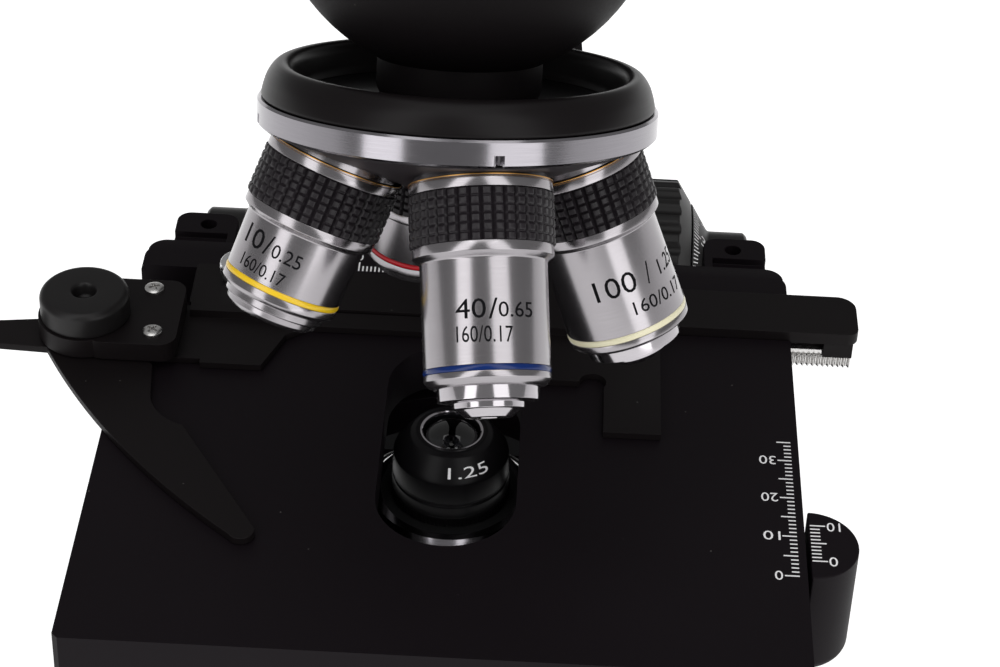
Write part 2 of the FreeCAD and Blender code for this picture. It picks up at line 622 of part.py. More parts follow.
for gap in x_gaps:
    gap.translate(vec(x_mid, x_rack_line, web_z - rack_height - 1))
save("traverse_rack", x_rack.cut(x_gaps))

# Slide holder on the bar, with its fixed finger
h0 = stage_z + holder_gap
h1 = h0 + holder_thickness
slide_right = slide_left + slide_length
left_end, finger_right = slide_left - 6.5, slide_right + 10.1
outline = [(left_end, slide_rear + 1.1), (left_end + 10, slide_rear + 1.1), (left_end + 10, slide_rear),
           (slide_left + 14.5, slide_rear), (slide_left + 18, holder_rear - 3), (slide_left + 22, holder_rear),
           (slide_right - 17, holder_rear), (slide_right - 11.5, slide_rear), (slide_right, slide_rear),
           (slide_right, -2.0), (finger_right, -2.0), (finger_right, track_front - 0.2),
           (left_end, track_front - 0.2)]
holder = prism(outline, h0, h1)
holder = holder.cut(rod(slide_right - 2.0, slide_rear, h0 - 1, up, 2.4, 4))
tab_left = bracket_right + 0.8
tabs = [block(tab_left, left_end + 27, holder_rear + 1, bar_y1 - 1.2, cap_z, cap_z + holder_thickness),
        block(slide_right - 14, finger_right, holder_rear + 1, bar_y1 - 1.2, cap_z, cap_z + holder_thickness)]
risers = [block(tab_left, left_end + 27, holder_rear + 1, track_front - 0.2, h0, cap_z + holder_thickness),
          block(slide_right - 14, finger_right, holder_rear + 1, track_front - 0.2, h0, cap_z + holder_thickness)]
holder = holder.fuse(tabs + risers)
thumb_spots = [(-41.5, 36.2), (slide_right - 4, 36.2)]
holder = holder.cut([rod(x, y, cap_z - 1, up, 1.6, 5) for x, y in thumb_spots])
save("slide_holder", holder.removeSplitter())
thumb = [(0, 0), (3.4, 0), (4.1, 0.8), (4.1, 3.8), (3.6, 4.4), (0, 4.4)]
save("holder_thumbscrews", group([upright(thumb, x, y, cap_z + holder_thickness) for x, y in thumb_spots]))

# Clip bracket on the left pad, spring cap, and the sickle-shaped clip
pad_left = left_end
bracket_low = h0 + clip_thickness + 0.4
plate_a = corners(block(pivot_x + 1, bracket_right, 10.8, 30.3, bracket_low, stage_z + bracket_top), 3.0, vertical)
plate_b = rod(pivot_x, pivot_y, bracket_low, up, 8.5, stage_z + bracket_top - bracket_low)
plate_c = block(pad_left + 0.5, bracket_right - 0.4, slide_rear + 1.4, track_front - 0.5, h1, bracket_low)
spindle = rod(pivot_x, pivot_y, h0, up, pivot_radius, bracket_low - h0 + 1)
bracket = plate_a.fuse([plate_b, plate_c, spindle])
bracket_spots = [(-56.0, 27.4), (-54.6, 14.6)]
bracket = bracket.cut([rod(x, y, stage_z + bracket_top - 2.4, up, 0.9, 4) for x, y in bracket_spots])
save("clip_bracket", bracket.removeSplitter())
cap_shape = [(0, 0), (cap_radius, 0), (cap_radius, cap_height - 0.5), (cap_radius - 0.5, cap_height),
             (2.1, cap_height), (2.1, cap_height - 2.6), (0, cap_height - 2.6)]
save("spring_cap", upright(cap_shape, pivot_x, pivot_y, stage_z + bracket_top))
small_screw = [(0, -2.4), (0.85, -2.4), (0.85, 0), (1.6, 0), (1.6, 0.4), (1.1, 0.9), (0, 0.9)]
save("bracket_screws", group([upright(small_screw, x, y, stage_z + bracket_top) for x, y in bracket_spots]))


def at(x, y):
    return vec(x, y, h0)


hub_r = 8.2
blade_edges = [
    Part.Arc(at(pivot_x - 7.6, pivot_y - 3.0), at(-60.3, -7.4), at(-35.4, -33.8)).toShape(),
    Part.Arc(at(-35.4, -33.8), at(-32.3, -34.6), at(-31.2, -32.0)).toShape(),
    Part.LineSegment(at(-31.2, -32.0), at(-46.6, -6.0)).toShape(),
    Part.Arc(at(-46.6, -6.0), at(-51.4, -2.6), at(-53.4, 3.0)).toShape(),
    Part.LineSegment(at(-53.4, 3.0), at(-54.2, 10.6)).toShape(),
    Part.LineSegment(at(-54.2, 10.6), at(-59.6, 15.4)).toShape(),
    Part.LineSegment(at(-59.6, 15.4), at(pivot_x - 7.6, pivot_y - 3.0)).toShape(),
]
blade = Part.Face(Part.Wire(blade_edges)).extrude(vec(0, 0, clip_thickness))
lever_end = -82.8
lever = prism([(pivot_x, pivot_y + 4.4), (lever_end, 21.4), (lever_end, 14.4), (pivot_x, 13.6)],
              h0, h0 + clip_thickness)
lever = lever.fuse(rod(lever_end, 17.9, h0, up, 3.5, clip_thickness))
clip = blade.fuse([rod(pivot_x, pivot_y, h0, up, hub_r, clip_thickness), lever])
clip = clip.cut(rod(pivot_x, pivot_y, h0 - 1, up, pivot_radius + shaft_fit, 5))
save("slide_clip", clip.removeSplitter())

# Coaxial knobs under the stage: outer tube moves the plate, inner shaft moves the bar
x_pinion_z = web_z - rack_height + 0.3
y_rack_height = plate_z - lower_top - 2 * 0.2
y_rack_line = knob_x + pitch_radius
y_rack_z = lower_top
y_half = (y_front + y_rear) / 2 + 6
y_centre = knob_y + (y_rear - y_front) / 2
y_rack = block(y_rack_line - 0.85 * stage_module, y_rack_line + 2.0, y_centre - y_half, y_centre + y_half,
               y_rack_z, y_rack_z + y_rack_height)
y_count = int(2 * y_half / stage_pitch) - 1
y_gaps = []
for gap in rack_teeth(y_count, stage_module, y_rack_height + 2, 0.42):
    gap.rotate(vec(0, 0, 0), vec(0, 0, 1), 90)
    y_gaps.append(gap)
y_mid = knob_y + round((y_centre - knob_y) / stage_pitch) * stage_pitch
if y_count % 2 == 0:
    y_mid = y_mid + stage_pitch / 2
for gap in y_gaps:
    gap.translate(vec(y_rack_line, y_mid, y_rack_z - 1))
save("stage_rack", y_rack.cut(y_gaps))

y_pinion = toothed(stage_pinion_teeth, stage_module, y_rack_height - 0.3, 0.38)
y_pinion = place(y_pinion, vec(knob_x, knob_y, lower_top + 0.2), up)
y_knob_top = lower_z - 6.0
y_tube = rod(knob_x, knob_y, y_knob_top - 4, up, knob_shaft, plate_z + 3 - y_knob_top)
y_knob = [(0, 0), (y_knob_radius - 1, 0), (y_knob_radius, 1), (y_knob_radius, knob_height - 1),
          (y_knob_radius - 1, knob_height), (6, knob_height), (0, knob_height)]
core_bore = rod(knob_x, knob_y, 20, up, knob_core + shaft_fit, 130)


def ribbed(profile, x, y, z, radius, ribs, z0, z1):
    knob = upright(profile, x, y, z)
    cuts = []
    for index in range(ribs):
        turn = 2 * math.pi * index / ribs
        cuts.append(rod(x + (radius + 0.7) * math.cos(turn), y + (radius + 0.7) * math.sin(turn), z0, up, 1.2,
                        z1 - z0))
    return knob.cut(cuts)


y_knob_z = y_knob_top - knob_height
y_body = ribbed(y_knob, knob_x, knob_y, y_knob_z, y_knob_radius, 24, y_knob_z + 1.5, y_knob_top - 1.5)
y_body = y_body.cut(rod(knob_x, knob_y, y_knob_top - 4, up, knob_shaft, 8))
save("y_drive", group([y_body.cut(core_bore), y_pinion.fuse(y_tube).cut(core_bore).removeSplitter()]))
x_knob_z = y_knob_z - air - knob_height
x_knob = [(0, 0), (x_knob_radius - 1, 0), (x_knob_radius, 1), (x_knob_radius, knob_height - 1),
          (x_knob_radius - 1, knob_height), (0, knob_height)]
x_body = ribbed(x_knob, knob_x, knob_y, x_knob_z, x_knob_radius, 20, x_knob_z + 1.5, x_knob_z + knob_height - 1.5)
x_body = x_body.cut(rod(knob_x, knob_y, x_knob_z + knob_height - 8, up, knob_core, 12))
x_pinion = toothed(stage_pinion_teeth, stage_module, 2.0, 0.38)
x_pinion = place(x_pinion, vec(knob_x, knob_y, stage_z - track_depth + 0.35), up)
x_core = rod(knob_x, knob_y, x_knob_z + knob_height - 8, up, knob_core, stage_z - track_depth + 1 - x_knob_z - 9)
save("x_drive", group([x_body, x_pinion.fuse(x_core).removeSplitter()]))

# Condenser: carrier on the carriage rail, body, cell with the top lens, iris ring, filter ring
ring_in = cond_radius + slide_fit
carrier = rod(0, 0, carrier_z, up, carrier_ring, carrier_thickness)
slider_y = carriage_y0 - rail_out
carrier = carrier.fuse(block(-8, 8, 0, slider_y - 4, carrier_z, carrier_z + carrier_thickness))
slider_z0 = tail_z0 + cond_travel + 2
slider = block(-12, 12, slider_y - 6, carriage_y0 - 0.2, slider_z0, carrier_z + carrier_thickness)
slider = slider.cut(block(-rail_half - slide_fit, rail_half + slide_fit, slider_y - slide_fit, carriage_y0 + 1, 40, 160))
carrier = carrier.fuse(slider).cut(rod(0, 0, carrier_z - 1, up, ring_in, 20))
save("condenser_carrier", carrier.removeSplitter())

ct = stage_z - cond_top
iris_top, iris_bottom, iris_in = 5.6, 8.6, 14.5
body = [(9.0, 0), (silver_radius + 1.5, 0), (cond_radius, 2.0), (cond_radius, iris_top), (iris_in, iris_top),
        (iris_in, iris_bottom), (cond_flange, iris_bottom), (cond_flange, 11.6), (cond_radius, 11.6),
        (cond_radius, cond_length), (12.0, cond_length), (12.0, 12.0), (9.0, 8.0)]
body = [(r, -s) for r, s in body]
cond_body = upright(body, 0, 0, ct)
pin_x = -(cond_radius + 3.4)
ear_z = ct - cond_length
cond_body = cond_body.fuse(rod(pin_x, 0, ear_z, up, 3.2, 5)).fuse(block(pin_x, -14, -3.2, 3.2, ear_z, ear_z + 5))
cond_body = cond_body.cut(rod(0, 0, ear_z - 1, up, 12.0, 8)).fuse(rod(pin_x, 0, ear_z - 4, up, 1.6, 6))
silver = upright([(9.0, 0), (silver_radius, 0), (silver_radius, 1.2), (silver_radius - 0.8, 2.0), (9.0, 2.0)], 0, 0, ct)
save("condenser_body", cond_body.fuse(silver).removeSplitter())
knurl_z = ct + 2.0
cell = [(front_lens, 0), (cell_knurl, 0), (cell_knurl, 6.0), (cell_radius, 6.4), (cell_radius, 9.4),
        (7.2, 12.6), (front_lens, 12.6)]
save("condenser_cell", upright(cell, 0, 0, knurl_z))
lens_z = knurl_z + 9.0
lens_low = rod(0, 0, knurl_z, up, front_lens - slide_fit, 11.8)
lens_r = 7.0
lens_top = Part.makeSphere(lens_r, vec(0, 0, knurl_z + 13.6 - lens_r))
lens_top = lens_top.common(rod(0, 0, knurl_z + 9.0, up, front_lens - slide_fit, 8))
save("condenser_lens", lens_low.fuse(lens_top).removeSplitter())
iris = [(iris_in + shaft_fit, 0), (cond_radius + 0.8, 0), (cond_radius + 0.8, 2.6), (iris_in + shaft_fit, 2.6)]
iris_z = ct - iris_bottom + 0.2
iris_ring = upright(iris, 0, 0, iris_z)
lever_turn = math.radians(-60)
lever_dir = vec(math.cos(lever_turn), math.sin(lever_turn), 0)
lever_rod = Part.makeCylinder(1.2, 16, vec(0, 0, iris_z + 1.3) + lever_dir * (cond_radius - 1), lever_dir)
lever_tip = Part.makeCylinder(2.2, 6, vec(0, 0, iris_z + 1.3) + lever_dir * (cond_radius + 13), lever_dir)
save("iris_lever", iris_ring.fuse([lever_rod, lever_tip]).removeSplitter())
filter_z = ear_z - 3.4
filter_shape = rod(0, 0, filter_z, up, cond_radius, 3.0)
filter_shape = filter_shape.fuse(rod(pin_x, 0, filter_z, up, 3.4, 3.0)).fuse(block(pin_x, -14, -3.4, 3.4, filter_z, filter_z + 3.0))
filter_shape = filter_shape.fuse(block(cond_radius - 2, cond_radius + 8, -3, 3, filter_z, filter_z + 3.0))
filter_shape = filter_shape.cut([rod(0, 0, filter_z - 1, up, 13.5, 6), rod(0, 0, filter_z + 1, up, 16.0, 6),
                                 rod(pin_x, 0, filter_z - 1, up, 1.6 + shaft_fit, 6)])
save("filter_holder", filter_shape.removeSplitter())
knob_profile = [(0, 0), (8.5, 0), (9.5, 1), (9.5, cond_knob_width - 1), (8.5, cond_knob_width), (0, cond_knob_width)]
cond_knob = place(lathe(knob_profile), vec(-21.0, cond_knob_y, cond_knob_z), to_left)
grips = []
for index in range(20):
    turn = 2 * math.pi * index / 20
    grips.append(rod(-22.2, cond_knob_y + 10.1 * math.cos(turn), cond_knob_z + 10.1 * math.sin(turn), to_left, 1.1, cond_knob_width - 2.4))
cond_knob = cond_knob.cut(grips).fuse(rod(-21.5, cond_knob_y, cond_knob_z, to_right, 2.5, 13))
save("condenser_knob", cond_knob.removeSplitter())

# Turret: dark dish, bright ring, cone with the four seats
dish_profile = [(28.9, ring_top), (ring_radius - 0.6, ring_top), (ring_radius - 1.0, ring_top - 1.6),
                (ring_radius - 1.8, ring_top - 3.2), (rim_radius + 0.4, rim_top + 0.4), (rim_radius - 0.2, rim_top),
                (rim_radius - 0.9, rim_top + 0.1), (rim_radius - 1.4, rim_top + 0.7), (25.4, ring_top - 0.8),
                (24.6, ring_top)]
bowl = place(lathe(dish_profile), apex, turret_axis)


def objective_axis(index):
    turn = FreeCAD.Rotation(turret_axis, turned - 90.0 * index)
    return turn.multVec(vec(0, 0, -1))


axes = [objective_axis(index) for index in range(4)]
save("turret_bezel", bowl)
ring = place(lathe([(28.9, ring_top), (ring_radius - 0.2, ring_top), (ring_radius, ring_top + 0.3),
                    (ring_radius, ring_bottom - 0.3), (ring_radius - 0.3, ring_bottom), (28.9, ring_bottom)]),
             apex, turret_axis)
nicks = []
for direction in axes:
    radial = direction - turret_axis * direction.dot(turret_axis)
    radial.normalize()
    nicks.append(Part.makeCylinder(0.7, 6, apex + turret_axis * (ring_top - 1) + radial * ring_radius, turret_axis))
save("turret_ring", ring.cut(nicks))
seat_r, seat_h = seat_s * tilt_sin, seat_s * tilt_cos
slope = math.tan(math.radians(tilt))
cone_at = lambda r: seat_h + (seat_r - r) * slope
turret = lathe([(hub_radius + shaft_fit, 38.2), (24.6, 38.2), (24.6, ring_top), (28.9 - slide_fit, ring_top),
                (28.9 - slide_fit, ring_bottom), (ring_radius - 0.4, ring_bottom), (ring_radius - 0.4, cone_at(ring_radius - 0.4)),
                (8.4, cone_at(8.4)), (8.4, 51.5), (hub_radius + shaft_fit, 51.5)])
turret = place(turret, apex, turret_axis)
bores = []
for direction in axes:
    bores.append(Part.makeCylinder(8.2, 20, apex + direction * (seat_s - 16), direction))
    bores.append(Part.makeCylinder(thread_radius + slide_fit, 8, apex + direction * (seat_s - thread_length), direction))
save("turret_body", turret.cut(bores).removeSplitter())


# Objectives. Each one is a shell, a knurled grip, a colour band and a front.
def on_seat(profile, index):
    return place(lathe(profile), apex + axes[index] * seat_s, axes[index])


def shell_profile(band_top, band_bottom, band_radius, tail):
    """Outer profile of a shell from its thread down to the front; the colour band sits in a shallow groove."""
    shape = [(8.0, -thread_length), (thread_radius, -thread_length), (thread_radius, 0), (collar + 0.15, 0),
             (collar + 0.15, washer), (collar, washer), (collar, grip_top), (9.8, grip_top),
             (9.8, grip_bottom), (10.65, grip_bottom), (10.65, 11.3), (barrel + 0.1, 11.9), (barrel, 12.1)]
    groove = [(band_radius, band_top), (band_radius - 0.12, band_top + 0.05), (band_radius - 0.12, band_bottom - 0.05),
              (band_radius, band_bottom)]
    return shape + groove + tail


low_tail = [(9.5, 22.0), (8.6, 22.8), (8.0, 22.8), (8.0, 24.2), (6.6, 24.6), (5.2, 24.6), (5.2, 24.0), (0, 24.4),
            (0, 22.4), (8.0, 21.0)]
mid_tail = [(9.35, 23.4), (8.7, 23.9), (8.7, 24.4), (8.1, 24.6), (8.1, 26.2), (7.3, 26.8), (6.4, 28.4), (4.4, 28.6),
            (4.4, 27.9), (0, 28.3), (0, 26.2), (8.0, 23.0)]
high_tail = [(9.5, 28.7), (8.9, 29.5), (8.0, 30.1), (shank + shaft_fit, 30.1), (shank + shaft_fit, 21.0), (8.0, 21.0)]
oil_tail = [(9.85, 29.5), (8.9, 30.3), (8.0, 30.6), (shank + shaft_fit, 30.6), (shank + shaft_fit, 21.0), (8.0, 21.0)]
save("objective_4_shell", on_seat(shell_profile(19.4, 20.8, 9.5, low_tail), 0))
save("objective_10_shell", on_seat(shell_profile(21.0, 22.3, 9.35, mid_tail), 1))
save("objective_40_shell", on_seat(shell_profile(26.6, 27.8, 9.5, high_tail), 2))
save("objective_100_shell", on_seat(shell_profile(27.4, 28.7, 9.85, oil_tail), 3))
grip = [(9.8, grip_top), (grip_radius - 0.25, grip_top), (grip_radius, grip_top + 0.25),
        (grip_radius, grip_bottom - 0.25), (grip_radius - 0.25, grip_bottom), (9.8, grip_bottom)]
save("objective_grips", group([on_seat(grip, index) for index in range(4)]))


def nose(start, tip):
    """Sprung front of a high power objective, closed by its small front lens."""
    return [(4.0, 23.5), (shank, 23.5), (shank, start + 2.0), (5.3, start + 2.3), (5.2, start + 3.5),
            (4.4, start + 3.7), (2.6, tip), (1.5, tip), (1.4, tip - 0.2), (0, tip - 0.1), (0, tip - 1.6), (4.0, start)]


save("nose_40", on_seat(nose(30.1, 35.1), 2))
save("nose_100", on_seat(nose(30.6, 35.2), 3))

# Head: turns on the arm, carries the eyepiece tube and the camera
head_z = arm_top_z + air
head_bottom = [(12, -6.0), (19.0, -6.0), (19.0, 0), (head_radius, 0), (head_radius, 3), (head_radius + 1.5, 5),
               (head_radius + 1.5, head_height - 4), (head_radius - 1, head_height - 1.5), (head_radius - 2.5, head_height),
               (port_tube - 2, head_height), (port_tube - 2, 8), (12, 4)]
head_shell = upright(head_bottom, 0, 0, head_z)
eye_dir = vec(0, math.sin(math.radians(eye_angle)), math.cos(math.radians(eye_angle)))
eye_base = vec(0, 2.0, head_z + 20.0)


def on_eye(profile):
    return place(lathe(profile), eye_base, eye_dir)


snout = on_eye([(0, 6), (17.5, 6), (17.5, 30), (16.5, 34), (0, 34)])
tube_hole = on_eye([(0, 8), (eye_tube, 8), (eye_tube, 40), (0, 40)])
inner_void = rod(0, 0, head_z + 8, up, port_tube - 2, head_height)
port_z = head_z + head_height
port = upright([(port_tube - 2, -2), (port_tube + 1.8, -2), (port_tube + 1.8, 2.5), (port_tube, 3.5),
                (port_tube, port_length), (port_tube - 2, port_length)], 0, 0, port_z)
head_shell = head_shell.fuse([snout, port]).cut([tube_hole, inner_void])
save("head_body", head_shell.removeSplitter())
save("eyepiece_tube", on_eye([(eye_bore + shaft_fit, 26), (eye_tube - slide_fit, 26), (eye_tube - slide_fit, 34),
                              (eye_tube + 0.6, 34.2), (eye_tube + 0.6, eye_length - 3), (eye_tube, eye_length),
                              (eye_bore + shaft_fit, eye_length)]))
save("eyepiece_barrel", on_eye([(9.6, 40), (eye_bore, 40), (eye_bore, eye_length), (14.6, eye_length),
                                (14.6, eye_length + 12), (13.4, eye_length + 14), (9.6, eye_length + 14),
                                (9.6, eye_length + 10)]))
save("eyecup", on_eye([(9.6, eye_length + 14), (13.4, eye_length + 14), (16.2, eye_length + 17),
                       (16.6, eye_length + 24), (15.4, eye_length + 24), (14.2, eye_length + 18.4),
                       (9.6, eye_length + 15.6)]))
save("eye_lens", on_eye([(0, eye_length + 11), (9.6 - 0.02, eye_length + 11), (9.6 - 0.02, eye_length + 13), (0, eye_length + 14.4)]))
camera_z = port_z + port_length
camera_shape = [(0, 0), (port_tube + 1.5, 0), (camera_radius - 1, 2.5), (camera_radius, 4), (camera_radius, camera_height - 3),
                (camera_radius - 3, camera_height), (0, camera_height)]
camera = upright(camera_shape, 0, 0, camera_z)
usb_z = camera_z + 16
usb_seat = block(-7.2, 7.2, 12, camera_radius + 1.2, usb_z - 6.4, usb_z + 6.4)
camera = camera.fuse(usb_seat).cut(block(-6.05, 6.05, 10, 40, usb_z - 5.45, usb_z + 5.45))
save("camera_body", camera.removeSplitter())
socket = block(-6.0, 6.0, 10.0, camera_radius + 1.0, usb_z - 5.4, usb_z + 5.4)
socket = socket.cut(block(-4.3, 4.3, 11.5, 40, usb_z - 3.8, usb_z + 3.8))
save("usb_socket", socket.fuse(block(-2.8, 2.8, 11.0, camera_radius, usb_z - 1.6, usb_z + 1.6)))
lock = rod(-19.4, 0, lock_z, to_left, 1.9, dome_radius - 17)
lock = lock.fuse(rod(-dome_radius - 0.5, 0, lock_z, to_left, 5.0, 8))
save("head_lock_screw", lock.removeSplitter())
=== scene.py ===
import bpy
import bmesh
import math
import mathutils
import numpy as np
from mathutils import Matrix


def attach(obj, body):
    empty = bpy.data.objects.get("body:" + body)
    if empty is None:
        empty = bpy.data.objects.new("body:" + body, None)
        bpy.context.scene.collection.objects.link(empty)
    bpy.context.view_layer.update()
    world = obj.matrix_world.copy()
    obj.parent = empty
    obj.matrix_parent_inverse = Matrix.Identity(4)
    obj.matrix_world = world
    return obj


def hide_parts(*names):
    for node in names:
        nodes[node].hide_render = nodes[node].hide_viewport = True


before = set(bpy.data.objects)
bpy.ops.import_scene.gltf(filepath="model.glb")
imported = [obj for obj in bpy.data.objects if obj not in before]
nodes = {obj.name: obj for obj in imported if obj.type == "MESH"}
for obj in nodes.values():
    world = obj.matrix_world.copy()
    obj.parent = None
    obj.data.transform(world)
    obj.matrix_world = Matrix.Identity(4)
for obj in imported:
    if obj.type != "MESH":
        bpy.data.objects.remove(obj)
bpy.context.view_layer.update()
print("frame loaded:", len(nodes), "nodes")

millimetre = 0.001


# vectors, all lengths in millimetres
def unit(vector):
    vector = np.asarray(vector, float)
    return vector / np.linalg.norm(vector)


def turned(vector, axis, degrees):
    # Rodrigues: v cos a + (k x v) sin a + k (k.v)(1 - cos a)
    vector, axis, angle = np.asarray(vector, float), unit(axis), math.radians(degrees)
    along = axis * np.dot(axis, vector) * (1 - math.cos(angle))
    return vector * math.cos(angle) + np.cross(axis, vector) * math.sin(angle) + along


def axesAround(axis, towards):
    # three columns: the direction nearest to towards that is square to the axis, the third one, the axis
    axis = unit(axis)
    towards = np.asarray(towards, float)
    first = unit(towards - axis * np.dot(towards, axis))
    return np.stack([first, np.cross(axis, first), axis], axis=1)


# materials
def socket(shader, name, value):
    shader.inputs[name].default_value = value


def link(material, source, target):
    material.node_tree.links.new(source, target)


def newGroup(name, inputs, outputs):
    group = bpy.data.node_groups.new(name, "ShaderNodeTree")
    for title, kind, value in inputs:
        item = group.interface.new_socket(name=title, in_out="INPUT", socket_type=kind)
        if value is not None:
            item.default_value = value
    for title, kind in outputs:
        group.interface.new_socket(name=title, in_out="OUTPUT", socket_type=kind)
    return group, group.nodes.new("NodeGroupInput"), group.nodes.new("NodeGroupOutput")


def maths(tree, operation, first, second):
    # a Math node whose inputs are sockets or plain numbers
    node = tree.nodes.new("ShaderNodeMath")
    node.operation = operation
    for index, value in enumerate((first, second)):
        if isinstance(value, float):
            node.inputs[index].default_value = value
        else:
            tree.links.new(value, node.inputs[index])
    return node.outputs[0]


def noiseOn(tree, vector, scale, detail=2.0):
    node = tree.nodes.new("ShaderNodeTexNoise")
    node.inputs["Detail"].default_value = detail
    tree.links.new(vector, node.inputs["Vector"])
    if isinstance(scale, float):
        node.inputs["Scale"].default_value = scale
    else:
        tree.links.new(scale, node.inputs["Scale"])
    return node.outputs["Fac"]


def swayed(tree, start, end, centred, height):
    # tone and roughness, each times 1 + spread * (noise about zero); the tone is returned
    gain = maths(tree, "ADD", maths(tree, "MULTIPLY", centred, start.outputs["Spread"]), 1.0)
    tone = tree.nodes.new("ShaderNodeVectorMath")
    tone.operation = "SCALE"
    tree.links.new(start.outputs["Tone"], tone.inputs[0])
    tree.links.new(gain, tone.inputs["Scale"])
    tree.links.new(maths(tree, "MULTIPLY", start.outputs["Roughness"], gain), end.inputs["Roughness"])
    tree.links.new(height, end.inputs["Height"])
    return tone.outputs["Vector"]


groupOutputs = [("Color", "NodeSocketColor"), ("Roughness", "NodeSocketFloat"), ("Height", "NodeSocketFloat")]


def grainGroup():
    # mottled tone and a bump height from two noises on object coordinates, with a few pale specks of dust
    group, start, end = newGroup("grain", [("Tone", "NodeSocketColor", (0.5, 0.5, 0.5, 1)),
                                           ("Speck Tone", "NodeSocketColor", (0.5, 0.5, 0.5, 1)),
                                           ("Scale", "NodeSocketFloat", 1500.0),
                                           ("Spread", "NodeSocketFloat", 0.15),
                                           ("Specks", "NodeSocketFloat", 0.0),
                                           ("Roughness", "NodeSocketFloat", 0.5)], groupOutputs)
    place = group.nodes.new("ShaderNodeTexCoord").outputs["Object"]
    fine = noiseOn(group, place, start.outputs["Scale"], 3.0)
    broad = noiseOn(group, place, 35.0, 4.0)
    centred = maths(group, "SUBTRACT", maths(group, "ADD", fine, broad), 1.0)
    tone = swayed(group, start, end, centred, fine)
    dust = group.nodes.new("ShaderNodeTexVoronoi")
    dust.inputs["Scale"].default_value = 230.0
    group.links.new(place, dust.inputs["Vector"])
    near = maths(group, "LESS_THAN", dust.outputs["Distance"], 0.035)
    few = maths(group, "GREATER_THAN", noiseOn(group, place, 60.0), 0.56)
    colour = group.nodes.new("ShaderNodeMix")
    colour.data_type = "RGBA"
    group.links.new(maths(group, "MULTIPLY", maths(group, "MULTIPLY", near, few), start.outputs["Specks"]),
                    colour.inputs["Factor"])
    group.links.new(tone, colour.inputs[6])
    group.links.new(start.outputs["Speck Tone"], colour.inputs[7])
    group.links.new(colour.outputs[2], end.inputs["Color"])
    return group


def turnedGroup():
    # fine rings left by the lathe: a noise that hardly changes around the piece, and fast along its V
    group, start, end = newGroup("turnedLines", [("Tone", "NodeSocketColor", (0.7, 0.7, 0.7, 1)),
                                                 ("Lines", "NodeSocketFloat", 9.0),
                                                 ("Spread", "NodeSocketFloat", 0.12),
                                                 ("Roughness", "NodeSocketFloat", 0.2)], groupOutputs)
    place = group.nodes.new("ShaderNodeUVMap")
    place.uv_map = "UVMap"
    stretch = group.nodes.new("ShaderNodeVectorMath")
    stretch.operation = "MULTIPLY"
    stretch.inputs[1].default_value = (0.02, 1.0, 1.0)
    group.links.new(place.outputs["UV"], stretch.inputs[0])
    rings = noiseOn(group, stretch.outputs["Vector"], start.outputs["Lines"], 5.0)
    tone = swayed(group, start, end, maths(group, "SUBTRACT", rings, 0.5), rings)
    group.links.new(tone, end.inputs["Color"])
    return group


grain = grainGroup()
turnedLines = turnedGroup()


def principled(name):
    material = bpy.data.materials.new(name)
    material.use_nodes = True
    shader = material.node_tree.nodes["Principled BSDF"]
    return material, shader


def bumpFrom(material, shader, source, distance, strength):
    bump = material.node_tree.nodes.new("ShaderNodeBump")
    bump.inputs["Distance"].default_value = distance
    bump.inputs["Strength"].default_value = strength
    link(material, source, bump.inputs["Height"])
    link(material, bump.outputs["Normal"], shader.inputs["Normal"])


def surfaced(name, group, values, settings, bump=None):
    # colour, roughness and height come from a node group, the rest is set on the shader
    material, shader = principled(name)
    effect = material.node_tree.nodes.new("ShaderNodeGroup")
    effect.node_tree = group
    for title, value in values.items():
        effect.inputs[title].default_value = value
    for title in ("Color", "Roughness"):
        link(material, effect.outputs[title], shader.inputs["Base Color" if title == "Color" else title])
    for title, value in settings.items():
        socket(shader, title, value)
    if bump is not None:
        bumpFrom(material, shader, effect.outputs["Height"], *bump)
    return material


def painted(name, tone, rough, gloss, scale, spread, bump, specks=0.0, metallic=0.0):
    values = {"Tone": (*tone, 1), "Speck Tone": (0.10, 0.095, 0.09, 1), "Scale": scale, "Spread": spread,
              "Specks": specks, "Roughness": rough}
    return surfaced(name, grain, values, {"Specular IOR Level": gloss, "Metallic": metallic}, (0.00004, bump))


def lathed(name, tone, rough, lines, spread, bump, metallic=1.0, gloss=0.5):
    values = {"Tone": (*tone, 1), "Lines": lines, "Spread": spread, "Roughness": rough}
    return surfaced(name, turnedLines, values, {"Metallic": metallic, "Specular IOR Level": gloss},
                    (0.00002, bump))


def glassy(name, tone, rough=0.03):
    values = {"Tone": (*tone, 1), "Speck Tone": (*tone, 1), "Scale": 60.0, "Spread": 0.08, "Roughness": rough}
    return surfaced(name, grain, values, {"Transmission Weight": 1.0, "IOR": 1.52})


